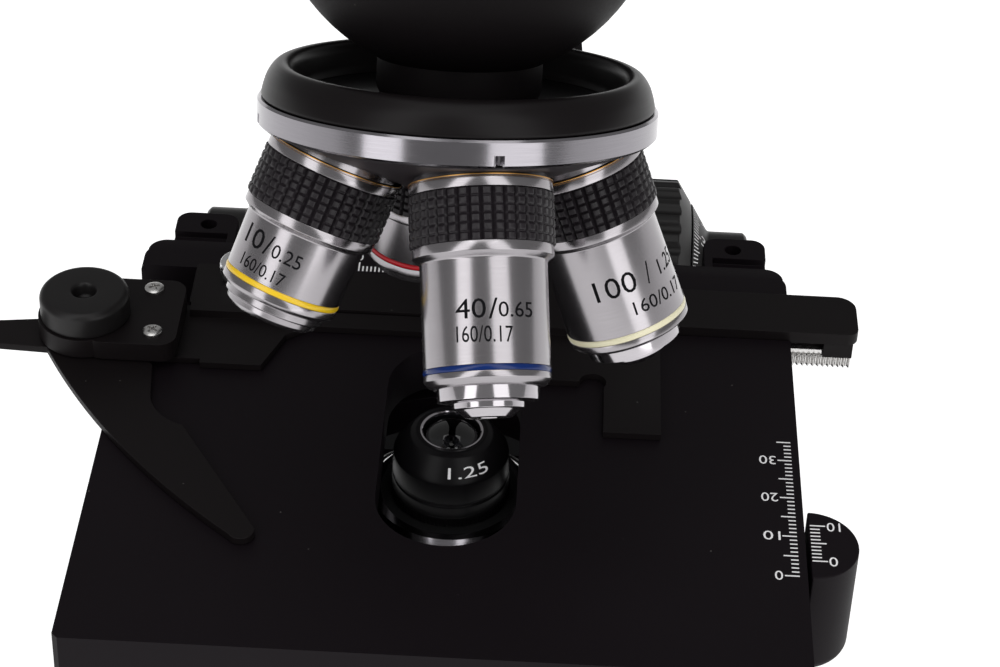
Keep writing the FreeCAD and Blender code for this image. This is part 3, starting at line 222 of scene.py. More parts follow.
# tone, roughness, gloss, grain scale, spread, bump, specks, metallic
paintedFinishes = {
    "castBlack": ((0.0048, 0.0038, 0.0042), 0.52, 0.06, 1900.0, 0.30, 0.35, 0.5),
    "stageBlack": ((0.0060, 0.0042, 0.0056), 0.52, 0.08, 2600.0, 0.22, 0.22, 0.6),
    "holderBlack": ((0.0062, 0.0048, 0.0052), 0.48, 0.10, 2200.0, 0.22, 0.20, 0.5),
    "knobBlack": ((0.0070, 0.0062, 0.0064), 0.42, 0.24, 1700.0, 0.20, 0.15, 0.2),
    "gripBlack": ((0.0120, 0.0094, 0.0118), 0.42, 0.26, 2500.0, 0.30, 0.30, 0.0),
    "rubberBlack": ((0.012, 0.012, 0.012), 0.75, 0.15, 1300.0, 0.25, 0.40, 0.2),
    "plasticBlack": ((0.010, 0.010, 0.010), 0.38, 0.35, 1800.0, 0.18, 0.15, 0.0),
    "glossBlack": ((0.006, 0.006, 0.006), 0.16, 0.5, 900.0, 0.10, 0.03, 0.0),
    "anodisedFlat": ((0.010, 0.010, 0.0105), 0.40, 0.4, 1700.0, 0.20, 0.10),
    "aluminiumFlat": ((0.66, 0.66, 0.67), 0.28, 0.5, 1500.0, 0.15, 0.08, 0.0, 1.0),
    "steel": ((0.60, 0.59, 0.58), 0.28, 0.5, 900.0, 0.20, 0.05, 0.0, 1.0),
    "brass": ((0.62, 0.42, 0.17), 0.30, 0.5, 900.0, 0.25, 0.05, 0.0, 1.0),
    "whitePrint": ((0.84, 0.83, 0.84), 0.6, 0.2, 2500.0, 0.15, 0.05),
    "inkBlack": ((0.004, 0.004, 0.005), 0.55, 0.06, 2500.0, 0.15, 0.05),
    "lampWhite": ((0.75, 0.74, 0.68), 0.5, 0.3, 900.0, 0.05, 0.05),
}
# tone, roughness, lines, spread, bump, metallic, gloss
lathedFinishes = {
    "dishBlack": ((0.0064, 0.0052, 0.0056), 0.34, 5.0, 0.25, 0.10, 0.0, 0.11),
    "coneGrey": ((0.022, 0.019, 0.021), 0.42, 4.0, 0.25, 0.10, 0.0, 0.12),
    "anodised": ((0.0046, 0.0042, 0.0048), 0.34, 6.0, 0.2, 0.08, 0.0, 0.10),
    "ringMetal": ((0.27, 0.258, 0.278), 0.15, 7.0, 0.30, 0.12),
    "barrelMetal": ((0.295, 0.28, 0.293), 0.20, 8.0, 0.25, 0.08, 0.97),
    "collarMetal": ((0.40, 0.38, 0.40), 0.12, 8.0, 0.15, 0.04, 0.98),
    "aluminium": ((0.68, 0.68, 0.69), 0.24, 7.0, 0.25, 0.10),
    "copper": ((0.50, 0.26, 0.07), 0.30, 8.0, 0.2, 0.05),
    "bandYellow": ((0.80, 0.52, 0.008), 0.28, 6.0, 0.10, 0.02, 0.0),
    "bandBlue": ((0.001, 0.018, 0.120), 0.20, 6.0, 0.10, 0.02, 0.0, 0.30),
    "bandCream": ((0.84, 0.79, 0.56), 0.30, 6.0, 0.08, 0.02, 0.0),
    "bandRed": ((0.48, 0.005, 0.012), 0.24, 6.0, 0.10, 0.02, 0.0, 0.30),
}
# tone, roughness
glassyFinishes = {
    "glass": ((0.93, 0.96, 0.95),),
    # the condenser lens glass is tinted near black: painted shade standing in for the dark inside of the
    # condenser below it
    "lensGlassShadeTint": ((0.012, 0.012, 0.014),),
    "frosted": ((0.90, 0.92, 0.90), 0.35),
}
finish = {}
for make, table in ((painted, paintedFinishes), (lathed, lathedFinishes), (glassy, glassyFinishes)):
    finish.update({name: make(name, *values) for name, values in table.items()})
print("finishes made:", len(finish))


# meshes
def softened(profile, radius, steps=3, closed=False):
    # each corner of the profile becomes a quadratic curve between the points a little before and after it:
    # (1-t)^2 A + 2 t (1-t) P + t^2 B
    points = np.asarray(profile, float)
    before, after = np.roll(points, 1, axis=0), np.roll(points, -1, axis=0)
    lengthBefore = np.linalg.norm(points - before, axis=1, keepdims=True)
    lengthAfter = np.linalg.norm(after - points, axis=1, keepdims=True)
    reachBefore = np.minimum(radius, 0.45 * lengthBefore) / np.maximum(lengthBefore, 1e-9)
    reachAfter = np.minimum(radius, 0.45 * lengthAfter) / np.maximum(lengthAfter, 1e-9)
    first = points + (before - points) * reachBefore
    last = points + (after - points) * reachAfter
    t = np.linspace(0, 1, steps)[None, :, None]
    curve = (1 - t) ** 2 * first[:, None] + 2 * t * (1 - t) * points[:, None] + t ** 2 * last[:, None]
    if not closed:
        curve[0] = points[0]
        curve[-1] = points[-1]
    flat = curve.reshape(-1, 2)
    keep = np.concatenate([[True], np.linalg.norm(np.diff(flat, axis=0), axis=1) > 1e-6])
    return flat[keep]


def finishMesh(mesh, sharp):
    work = bmesh.new()
    work.from_mesh(mesh)
    bmesh.ops.remove_doubles(work, verts=work.verts, dist=2e-7)
    bmesh.ops.recalc_face_normals(work, faces=work.faces)
    work.to_mesh(mesh)
    work.free()
    mesh.shade_smooth()
    mesh.set_sharp_from_angle(angle=math.radians(sharp))


def gridMesh(name, points, across, along, closedAlong=False, sharp=32.0):
    # a grid of points, rows by columns closed round, made into quads; across and along are UV values in mm
    rows, columns = points.shape[:2]
    lastRow = rows if closedAlong else rows - 1
    i, j = np.meshgrid(np.arange(lastRow), np.arange(columns), indexing="ij")
    i, j = i.ravel(), j.ravel()
    iNext, jNext = (i + 1) % rows, (j + 1) % columns
    quads = np.stack([i * columns + j, i * columns + jNext, iNext * columns + jNext, iNext * columns + j],
                     axis=1)
    mesh = bpy.data.meshes.new(name)
    mesh.vertices.add(rows * columns)
    mesh.vertices.foreach_set("co", (points.reshape(-1, 3) * millimetre).astype(np.float32).ravel())
    mesh.loops.add(quads.size)
    mesh.loops.foreach_set("vertex_index", quads.astype(np.int32).ravel())
    mesh.polygons.add(len(quads))
    mesh.polygons.foreach_set("loop_start", np.arange(0, quads.size, 4, dtype=np.int32))
    mesh.update(calc_edges=True)
    layer = mesh.uv_layers.new(name="UVMap")
    acrossNext = np.append(across, across[0] + across[-1] + (across[-1] - across[-2]))
    alongNext = np.append(along, along[-1] + 1.0)
    u = np.stack([acrossNext[j], acrossNext[j + 1], acrossNext[j + 1], acrossNext[j]], axis=1)
    v = np.stack([alongNext[i], alongNext[i], alongNext[i + 1], alongNext[i + 1]], axis=1)
    layer.data.foreach_set("uv", np.stack([u, v], axis=2).astype(np.float32).ravel())
    finishMesh(mesh, sharp)
    return mesh


def latheMesh(name, profile, base, axis, towards=None, count=96, closed=False, relief=None, sharp=32.0):
    # P(a, s) = base + (r(s) + relief(a, s)) (cos a e1 + sin a e2) + s e3, for a profile of (r, s)
    profile = np.asarray(profile, float)
    if towards is None:
        towards = (0, -1, 0) if abs(unit(axis)[1]) < 0.9 else (0, 0, 1)
    e = axesAround(axis, towards)
    angle = np.linspace(0, 2 * math.pi, count, endpoint=False)
    radius = np.repeat(profile[:, :1], count, axis=1)
    if relief is not None:
        radius = radius + relief(angle[None, :], profile[:, 1:2], profile[:, :1])
    ring = np.cos(angle)[None, :, None] * e[:, 0] + np.sin(angle)[None, :, None] * e[:, 1]
    points = np.asarray(base, float) + radius[:, :, None] * ring + profile[:, 1][:, None, None] * e[:, 2]
    length = np.concatenate([[0], np.cumsum(np.linalg.norm(np.diff(profile, axis=0), axis=1))])
    across = angle * max(profile[:, 0].max(), 0.1)
    return gridMesh(name, points, across, length, closed, sharp)


def joined(name, meshes):
    # one mesh out of several, by way of bmesh, with UVs kept
    work = bmesh.new()
    for mesh in meshes:
        work.from_mesh(mesh)
    result = bpy.data.meshes.new(name)
    work.to_mesh(result)
    work.free()
    result.set_sharp_from_angle(angle=math.radians(32))
    for mesh in meshes:
        bpy.data.meshes.remove(mesh)
    return result


def addPiece(name, mesh, body, material, slotName, *replaced):
    piece = bpy.data.objects.new(name, mesh)
    bpy.context.scene.collection.objects.link(piece)
    mesh.materials.clear()
    mesh.materials.append(finish[material])
    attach(piece, body)
    if replaced:
        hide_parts(*replaced)
    return piece


def lathePiece(name, profile, base, axis, body, material, slotName, *replaced, **shape):
    return addPiece(name, latheMesh(name, profile, base, axis, **shape), body, material, slotName, *replaced)


def dressed(node, body, material, slotName, edge=0.25, sharp=30.0, segments=2, reshape=None):
    # a merged copy of a CAD solid with its flat faces joined, smooth curves and small rounded edges
    mesh = nodes[node].data.copy()
    mesh.name = node + "Dressed"
    if reshape is not None:
        flat = np.zeros(len(mesh.vertices) * 3)
        mesh.vertices.foreach_get("co", flat)
        setPoints(mesh, reshape(flat.reshape(-1, 3) / millimetre))
    work = bmesh.new()
    work.from_mesh(mesh)
    bmesh.ops.remove_doubles(work, verts=work.verts, dist=1e-6)
    bmesh.ops.dissolve_limit(work, angle_limit=math.radians(0.4), verts=work.verts, edges=work.edges)
    bmesh.ops.recalc_face_normals(work, faces=work.faces)
    work.to_mesh(mesh)
    work.free()
    mesh.shade_smooth()
    mesh.set_sharp_from_angle(angle=math.radians(sharp))
    piece = addPiece(node + "Skin", mesh, body, material, slotName, node)
    if edge > 0:
        bevel = piece.modifiers.new("edge", "BEVEL")
        bevel.width = edge * millimetre
        bevel.segments = segments
        bevel.limit_method = "ANGLE"
        bevel.angle_limit = math.radians(sharp)
        bevel.harden_normals = True
        bevel.use_clamp_overlap = True
    return piece


def textPoints(words):
    # the built-in font as triangles, its box brought to 0..1 in x and y
    curve = bpy.data.curves.new("words", "FONT")
    curve.body = words
    curve.resolution_u = 3
    holder = bpy.data.objects.new("words", curve)
    mesh = bpy.data.meshes.new_from_object(holder)
    bpy.data.objects.remove(holder)
    flat = np.zeros(len(mesh.vertices) * 3)
    mesh.vertices.foreach_get("co", flat)
    flat = flat.reshape(-1, 3)
    low, high = flat.min(0), flat.max(0)
    flat[:, 0] = (flat[:, 0] - low[0]) / (high[0] - low[0])
    flat[:, 1] = (flat[:, 1] - low[1]) / (high[1] - low[1])
    return mesh, flat[:, :2]


def setPoints(mesh, points):
    mesh.vertices.foreach_set("co", (points * millimetre).astype(np.float32).ravel())
    mesh.update()
    return mesh


def fineTriangles(mesh, flat, limit):
    # long triangles of a word are split, so that the word can follow a curved wall
    setPoints(mesh, np.column_stack([flat, np.zeros(len(flat))]) / millimetre)
    work = bmesh.new()
    work.from_mesh(mesh)
    bmesh.ops.triangulate(work, faces=work.faces)
    for _ in range(3):
        longEdges = [edge for edge in work.edges if abs(edge.verts[0].co.x - edge.verts[1].co.x) > limit]
        if not longEdges:
            break
        bmesh.ops.subdivide_edges(work, edges=longEdges, cuts=1)
        bmesh.ops.triangulate(work, faces=work.faces)
    work.to_mesh(mesh)
    work.free()
    flat = np.zeros(len(mesh.vertices) * 3)
    mesh.vertices.foreach_get("co", flat)
    return flat.reshape(-1, 3)[:, :2]


def wrappedWords(words, base, axis, towards, radius, left, right, top, bottom, slope=0.0):
    # x of the word becomes arc length round the wall, y runs from bottom to top along the axis
    mesh, flat = textPoints(words)
    flat = fineTriangles(mesh, flat, 0.06)
    e = axesAround(axis, towards)
    rightward = np.cross(-e[:, 2], e[:, 0])
    arc = left + (right - left) * flat[:, 0]
    along = bottom + (top - bottom) * flat[:, 1] + slope * (flat[:, 0] - 0.5)
    wall = radius(along) + 0.03 if callable(radius) else np.full(len(arc), radius + 0.03)
    angle = arc / wall
    ring = np.cos(angle)[:, None] * e[:, 0] + np.sin(angle)[:, None] * rightward
    return setPoints(mesh, np.asarray(base) + wall[:, None] * ring + along[:, None] * e[:, 2])


def flatWords(words, x0, x1, y0, y1, z, upsideDown=False):
    mesh, flat = textPoints(words)
    if upsideDown:
        flat = 1 - flat
    return setPoints(mesh, np.column_stack([x0 + (x1 - x0) * flat[:, 0], y0 + (y1 - y0) * flat[:, 1],
                                            np.full(len(flat), z)]))


def barsMesh(name, boxes, z):
    # flat printed bars: rows of x0, x1, y0, y1
    boxes = np.asarray(boxes, float)
    x = boxes[:, [0, 1, 1, 0]]
    y = boxes[:, [2, 2, 3, 3]]
    points = np.stack([x, y, np.full_like(x, z)], axis=2).reshape(-1, 3) * millimetre
    mesh = bpy.data.meshes.new(name)
    mesh.from_pydata(points.tolist(), [], np.arange(len(points)).reshape(-1, 4).tolist())
    return mesh


print("mesh tools ready")

# camera and light
view = {
    "place": (13.126, -372.397, 440.026),     # millimetres
    "azimuth": 0.827, "elevation": 37.107, "roll": 2.391,
    "focalPixels": 2730.086, "frameWidth": 1000,
}
azimuth, elevation, roll = (math.radians(view[key]) for key in ("azimuth", "elevation", "roll"))
forward = np.array([-math.sin(azimuth) * math.cos(elevation), math.cos(azimuth) * math.cos(elevation),
                    -math.sin(elevation)])
level = unit(np.cross(forward, (0, 0, 1)))
upward = np.cross(level, forward)
cameraRight = math.cos(roll) * level + math.sin(roll) * upward
cameraUp = -math.sin(roll) * level + math.cos(roll) * upward
cameraData = bpy.data.cameras.new("camera")
cameraData.sensor_width = 36.0
cameraData.lens = view["focalPixels"] * 36.0 / view["frameWidth"]
cameraData.clip_start = 0.01
cameraData.clip_end = 20.0
camera = bpy.data.objects.new("camera", cameraData)
bpy.context.scene.collection.objects.link(camera)
matrix = np.eye(4)
matrix[:3, 0], matrix[:3, 1], matrix[:3, 2] = cameraRight, cameraUp, -forward
matrix[:3, 3] = np.array(view["place"]) * millimetre
camera.matrix_world = mathutils.Matrix(matrix.tolist())
bpy.context.scene.camera = camera
bpy.context.scene.view_settings.view_transform = "Standard"

studio = {
    "floorZ": -3.2,
    "world": 0.30, "floorGlow": 0.70,
    # azimuth, elevation, distance, width, height in metres, watts
    "strips": [(-38.5, 26.0, 0.95, 0.387, 1.35, 3.9), (34.5, 26.0, 0.95, 0.527, 1.35, 4.6)],
    "top": (0.0, 84.0, 1.3, 1.1, 1.1, 5.0),
    "target": (0.0, 0.0, 170.0),
}


def softbox(name, azimuthTo, elevationTo, distance, width, height, watts):
    data = bpy.data.lights.new(name, "AREA")
    data.shape = "RECTANGLE"
    data.size, data.size_y = width, height
    data.energy = watts
    lamp = bpy.data.objects.new(name, data)
    bpy.context.scene.collection.objects.link(lamp)
    a, el = math.radians(azimuthTo), math.radians(elevationTo)
    away = np.array([math.sin(a) * math.cos(el), -math.cos(a) * math.cos(el), math.sin(el)])
    spot = np.array(studio["target"]) * millimetre + away * distance
    side = unit(np.cross((0, 0, 1), away)) if abs(away[2]) < 0.98 else np.array([1.0, 0, 0])
    pose = np.eye(4)
    pose[:3, 0], pose[:3, 1], pose[:3, 2], pose[:3, 3] = side, np.cross(away, side), away, spot
    lamp.matrix_world = mathutils.Matrix(pose.tolist())
    return lamp


for index, strip in enumerate(studio["strips"]):
    softbox(f"strip{index}", *strip)
softbox("topLight", *studio["top"])
world = bpy.data.worlds.new("world")
world.use_nodes = True
world.node_tree.nodes["Background"].inputs["Color"].default_value = (1, 1, 1, 1)
world.node_tree.nodes["Background"].inputs["Strength"].default_value = studio["world"]
bpy.context.scene.world = world


def floorMaterial():
    # a plain pale floor that the camera, metal and glass see near white and that keeps the shadow
    material, shader = principled("floor")
    socket(shader, "Base Color", (0.86, 0.86, 0.86, 1))
    socket(shader, "Roughness", 0.9)
    socket(shader, "Specular IOR Level", 0.1)
    tree = material.node_tree
    ray = tree.nodes.new("ShaderNodeLightPath").outputs
    others = maths(tree, "MAXIMUM", ray["Is Glossy Ray"], ray["Is Transmission Ray"])
    strength = maths(tree, "MULTIPLY", maths(tree, "MAXIMUM", ray["Is Camera Ray"], others),
                     studio["floorGlow"])
    socket(shader, "Emission Color", (1, 1, 1, 1))
    link(material, strength, shader.inputs["Emission Strength"])
    return material


floorMesh = bpy.data.meshes.new("floor")
reach = 6.0
floorZ = studio["floorZ"] * millimetre
floorMesh.from_pydata([(x * reach, y * reach, floorZ) for x, y in ((-1, -1), (1, -1), (1, 1), (-1, 1))], [],
                      [(0, 1, 2, 3)])
floorMesh.materials.append(floorMaterial())
floor = bpy.data.objects.new("floor", floorMesh)
bpy.context.scene.collection.objects.link(floor)
print("camera and lights placed")

# nosepiece
nosepiece = {
    "apex": (0.0, 0.0, 248.9), "tilt": 21.65, "turned": -13.67,
    "ringRadius": 31.03, "ringTop": 37.9, "ringBottom": 42.0,
    "rimRadius": 27.6, "rimTop": 32.9,
    "seat": 50.55, "hub": 6.0,
    "domeRadius": 30.2, "domeAt": 3.9, "domeTop": 293.0, "neckRadius": 12.8, "neckEnd": 37.0,
}
apex = np.array(nosepiece["apex"])
tilt = math.radians(nosepiece["tilt"])
turretAxis = np.array([0.0, -math.sin(tilt), -math.cos(tilt)])
objectiveAxes = [turned((0, 0, -1), turretAxis, nosepiece["turned"] - 90 * index) for index in range(4)]
seats = [apex + axis * nosepiece["seat"] for axis in objectiveAxes]
eyePoint = np.array(view["place"])


def domeMesh():
    # a half ball under an upright cylinder, then the neck along the tilted axis
    radius = nosepiece["domeRadius"]
    centre = apex + turretAxis * nosepiece["domeAt"]
    lower = np.linspace(0, math.pi / 2, 24)
    ball = np.column_stack([radius * np.sin(lower), centre[2] - radius * np.cos(lower)])
    top = nosepiece["domeTop"]
    body = np.vstack([ball, [(radius, top - 0.6), (radius - 0.6, top), (19.3, top), (19.3, top - 6),
                             (0, top - 6)]])
    ballMesh = latheMesh("domeBall", body, (centre[0], centre[1], 0), (0, 0, 1), count=128)
    wide, end = nosepiece["neckRadius"], nosepiece["neckEnd"]
    neck = softened([(0, 26), (wide, 26), (wide, end - 1.1), (wide - 0.6, end), (0, end)], 0.8, 5)
    return joined("nose_domeSkin", [ballMesh, latheMesh("neck", neck, apex, turretAxis, count=96)])


addPiece("nose_domeSkin", domeMesh(), "stand", "castBlack", "black_paint", "nose_dome")

ringTop, ringBottom, ringRadius = (nosepiece[key] for key in ("ringTop", "ringBottom", "ringRadius"))
rimRadius, rimTop = nosepiece["rimRadius"], nosepiece["rimTop"]
dish = [(28.9, ringTop), (ringRadius - 0.5, ringTop), (ringRadius - 0.75, ringTop - 1.4),
        (ringRadius - 1.3, ringTop - 3.2), (ringRadius - 2.1, rimTop + 0.5), (rimRadius + 0.5, rimTop - 0.25),
        (rimRadius - 0.5, rimTop - 0.35), (rimRadius - 1.4, rimTop + 0.1), (rimRadius - 1.9, rimTop + 0.9),
        (25.2, ringTop - 0.8), (24.6, ringTop)]
lathePiece("turretDish", softened(dish, 0.7, 5, True), apex, turretAxis, "turret", "dishBlack", "black_paint",
           "turret_bezel", count=160, closed=True)
# a thin disc, darker than the cone, laid over the cone's face inside the dish: painted shade that makes the
# inside of the dish read black
dishShadeFloor = [(13.0, ringTop + 0.05), (25.1, ringTop + 0.05), (25.1, ringTop - 0.1), (13.0, ringTop - 0.1)]
lathePiece("dishShadeFloor", dishShadeFloor, apex, turretAxis, "turret", "anodised", "black_paint", count=128,
           closed=True)


def clickNotches(angle, s, r):
    # four short grooves in the wall, each 1 - (d / w)^2 deep near its own angle
    depth = np.zeros(np.broadcast(angle, s).shape)
    e = axesAround(turretAxis, (0, -1, 0))
    for axis in objectiveAxes:
        radial = axis - turretAxis * np.dot(axis, turretAxis)
        at = math.atan2(np.dot(radial, e[:, 1]), np.dot(radial, e[:, 0]))
        distance = np.abs((angle - at + math.pi) % (2 * math.pi) - math.pi) * ringRadius
        depth = np.maximum(depth, np.clip(1 - (distance / 0.7) ** 2, 0, 1) * (s > ringTop + 2.2) * (r > 30))
    return -0.75 * depth


ringProfile = np.array([(28.9, ringTop), (ringRadius - 0.35, ringTop), (ringRadius, ringTop + 0.35),
                        (ringRadius, ringTop + 1.2), (ringRadius, ringTop + 2.2), (ringRadius, ringTop + 2.3),
                        (ringRadius, ringTop + 3.0), (ringRadius, ringBottom - 0.35),
                        (ringRadius - 0.35, ringBottom), (28.9, ringBottom)])
lathePiece("turretRing", ringProfile, apex, turretAxis, "turret", "ringMetal", "bright_aluminium",
           "turret_ring", towards=(0, -1, 0), count=720, closed=True, relief=clickNotches)

seatRadius, seatHeight = nosepiece["seat"] * math.sin(tilt), nosepiece["seat"] * math.cos(tilt)


def coneAt(radius):
    return seatHeight + (seatRadius - radius) * math.tan(tilt)


cone = [(nosepiece["hub"] + 0.05, 38.2), (24.6, 38.2), (24.6, ringTop), (28.85, ringTop), (28.85, ringBottom),
        (ringRadius - 0.45, ringBottom), (ringRadius - 0.6, coneAt(ringRadius - 0.4)), (8.4, coneAt(8.4)),
        (8.4, 51.5), (nosepiece["hub"] + 0.05, 51.5)]
lathePiece("turretCone", softened(cone, 0.35, 3, True), apex, turretAxis, "turret", "coneGrey",
           "black_anodised", "turret_body", count=160, closed=True)
pin = [(0, 36.9), (6.0, 36.9), (6.0, 51.8), (6.9, 51.8), (6.9, 52.4), (6.0, 53.2), (1.0, 53.2), (0.8, 52.6),
       (0, 52.6)]
lathePiece("nosepiecePin", softened(pin, 0.3, 3), apex, turretAxis, "stand", "steel", "steel",
           "nosepiece_pin", count=64)
print("nosepiece made")

# objectives
objective = {
    "gripTop": 1.85, "gripBottom": 9.8,
    "grip": 10.95, "barrel": 9.57, "barrelFrom": 12.15, "columns": 38, "rows": 6,
}


def knurl(angle, s, r):
    # raised square pads: deep grooves along the axis, shallower ones round it
    columns = np.abs((angle * objective["columns"] / (2 * math.pi)) % 1 - 0.5) * 2
    span = objective["gripBottom"] - objective["gripTop"]
    rows = np.abs(((s - objective["gripTop"]) / span * objective["rows"]) % 1 - 0.5) * 2
    deep = np.clip((columns - 0.56) / 0.36, 0, 1) * 0.60
    shallow = np.clip((rows - 0.60) / 0.34, 0, 1) * 0.30
    outer = (r > objective["grip"] - 0.5)
    return -np.maximum(deep, shallow) * outer


def gripMesh(index):
    top, bottom, radius = objective["gripTop"], objective["gripBottom"], objective["grip"]
    wall = np.linspace(top + 0.12, bottom - 0.12, objective["rows"] * 10 + 1)
    profile = np.vstack([[(9.9, top), (radius - 0.12, top)],
                         np.column_stack([np.full(len(wall), radius), wall]),
                         [(radius - 0.12, bottom), (9.9, bottom)]])
    return latheMesh(f"grip{index}", profile, seats[index], objectiveAxes[index], eyePoint - seats[index],
                     objective["columns"] * 10, True, knurl, 50.0)


gripMeshes = [gripMesh(index) for index in range(4)]
addPiece("objectiveGrips", joined("objectiveGrips", gripMeshes), "turret", "gripBlack", "black_anodised",
         "objective_grips")


def onSeat(name, profile, index, body, material, slotName, *replaced, closed=False, soft=0.08):
    mesh = latheMesh(name, softened(profile, soft, 3, closed), seats[index], objectiveAxes[index],
                     eyePoint - seats[index], 144, closed)
    return addPiece(name, mesh, body, material, slotName, *replaced)


head = [(8.0, -4.5), (10.1, -4.5), (10.1, 0), (10.7, 0.0), (10.7, 0.4), (10.8, 0.45), (10.8, 1.85),
        (9.9, 1.85), (9.9, 9.8), (10.65, 9.8), (10.65, 11.25), (9.72, 11.95), (9.57, 12.15)]
fronts = {
    "objective_4_shell": (0, 19.75, 20.75, 9.5,
                          [(9.5, 22.0), (8.6, 22.8), (8.0, 22.8), (8.0, 24.2), (6.6, 24.6), (5.2, 24.6),
                           (5.2, 24.0), (0, 24.4)]),
    "objective_10_shell": (1, 21.2, 22.2, 9.35,
                           [(9.35, 23.3), (8.75, 23.9), (8.05, 24.1), (8.05, 25.1), (7.5, 25.35),
                            (7.4, 26.2), (6.5, 26.9), (4.9, 27.1), (4.4, 26.7), (0, 26.9)]),
    "objective_40_shell": (2, 27.75, 28.7, 9.5,
                           [(9.5, 29.6), (8.9, 30.3), (8.2, 30.7), (7.7, 30.7), (7.7, 21.4), (0, 21.4)]),
    "objective_100_shell": (3, 27.5, 28.6, 9.85,
                            [(9.85, 29.6), (8.9, 30.3), (8.0, 30.6), (7.7, 30.6), (7.7, 21.4), (0, 21.4)]),
}
bands = {"objective_4_shell": "bandRed", "objective_10_shell": "bandYellow", "objective_40_shell": "bandBlue",
         "objective_100_shell": "bandCream"}
for node, (index, bandTop, bandBottom, bandRadius, tail) in fronts.items():
    groove = [(bandRadius, bandTop), (bandRadius - 0.14, bandTop + 0.06),
              (bandRadius - 0.14, bandBottom - 0.06), (bandRadius, bandBottom)]
    shell = [(0, -4.5)] + head + groove + tail
    onSeat(node + "Skin", shell, index, "turret", "barrelMetal", "satin_chrome", node)
    middle = (bandTop + bandBottom) / 2
    ring = [(bandRadius - 0.2, bandTop + 0.05), (bandRadius - 0.02, bandTop + 0.05),
            (bandRadius + 0.10, middle),
            (bandRadius - 0.02, bandBottom - 0.05), (bandRadius - 0.2, bandBottom - 0.05)]
    onSeat(node.replace("shell", "band"), ring, index, "turret", bands[node], "black_paint", closed=True,
           soft=0.3)
    washer = [(10.3, 0.02), (10.86, 0.02), (10.86, 0.19), (10.3, 0.19)]
    onSeat(node.replace("shell", "washer"), washer, index, "turret", "copper", "brass", closed=True,
           soft=0.05)
for node, index, start, tip in (("nose_40", 2, 30.7, 35.0), ("nose_100", 3, 30.6, 34.9)):
    nose = [(0, 24.1), (7.6, 24.1), (7.6, start + 1.9), (5.5, start + 2.15), (5.45, start + 3.0),
            (4.9, start + 3.15), (3.5, tip), (1.5, tip), (1.4, tip - 0.2), (0, tip - 0.1)]
    onSeat(node + "Skin", nose, index, node, "collarMetal", "satin_chrome", node)

# numbers: words, objective, arcs left and right of the line facing the viewer, top and bottom on the axis
numbers = [
    ("40", 2, -4.45, 0.15, 18.2, 21.1, 0.0), ("/", 2, 0.5, 1.9, 18.2, 21.25, 0.0),
    ("0.65", 2, 2.0, 7.7, 18.75, 21.0, 0.0),
    ("160/0.17", 2, -4.45, 4.1, 22.2, 24.6, 0.2),
    ("10", 1, -9.6, -5.55, 13.7, 16.8, 0.2), ("/", 1, -5.1, -3.85, 13.75, 16.95, 0.0),
    ("0.25", 1, -3.6, 1.4, 14.75, 16.95, 0.25), ("160/0.17", 1, -8.4, 0.0, 18.3, 20.3, 0.4),
    ("100", 3, -3.6, 3.35, 17.7, 21.1, -0.1), ("/", 3, 5.3, 6.2, 17.5, 21.0, 0.0),
    ("1.25", 3, 8.3, 13.4, 18.2, 20.7, -0.3),
    ("160/0.17", 3, 1.6, 12.7, 22.8, 25.0, 0.2),
    ("4", 0, -6.0, -4.2, 13.2, 16.0, 0.0), ("/", 0, -4.0, -2.8, 13.0, 16.2, 0.0),
    ("0.10", 0, -2.6, 3.0, 13.8, 16.2, 0.0),
    ("160/0.17", 0, -5.6, 3.0, 16.8, 18.8, 0.0),
]
wallEnds = {index: (bandTop, bandRadius) for index, bandTop, bandBottom, bandRadius, tail in fronts.values()}


def barrelWall(index):
    # the wall goes straight from its radius under the grip to the radius at the colour band
    bandTop, bandRadius = wallEnds[index]
    grow = (bandRadius - objective["barrel"]) / (bandTop - objective["barrelFrom"])
    return lambda along: objective["barrel"] + grow * (along - objective["barrelFrom"])


numberMeshes = []
for words, index, left, right, top, bottom, slope in numbers:
    facing = eyePoint - seats[index] if index else np.array([0.35, 1.0, 0.2])
    numberMeshes.append(wrappedWords(words, seats[index], objectiveAxes[index], facing, barrelWall(index),
                                     left, right, top, bottom, slope))
addPiece("barrelNumbers", joined("barrelNumbers", numberMeshes), "turret", "inkBlack", "black_paint")
print("objectives made")

# stage
stage = {"top": 138.0, "tickEnd": 59.35, "longTick": 56.9, "shortTick": 58.1, "zeroY": -35.4, "step": 0.992,
         "tickWidth": 0.30, "print": 0.03}


def roundSlot(points):
    # the slot's corner arcs grow from 6 mm about their own centres to 12 mm about one centre per end
    small, large, slotFront, slotRear = 6.0, 12.0, -32.4, 22.3
    for wall, direction in ((slotFront, 1), (slotRear, -1)):
        for side in (-1, 1):
            centreX, centreY = side * (large - small), wall + direction * small
            x, y = points[:, 0] - centreX, points[:, 1] - centreY
            onArc = (np.abs(np.hypot(x, y) - small) < 0.02) & (x * side > -0.02) & (y * direction < 0.02)
            points[onArc, 0] = x[onArc] * large / small
            points[onArc, 1] = wall + direction * large + y[onArc] * large / small
    # the front left corner: a chamfer of 1 mm in place of 3 mm
    chamfer, newChamfer = 3.0, 1.0
    left, front = points[:, 0].min(), points[:, 1].min()
    alongFront = (np.abs(points[:, 0] - left - chamfer) < 0.01) & (points[:, 1] < front + 0.01)
    alongSide = (points[:, 0] < left + 0.01) & (np.abs(points[:, 1] - front - chamfer) < 0.01)
    points[alongFront, 0] -= chamfer - newChamfer
    points[alongSide, 1] -= chamfer - newChamfer
    return points


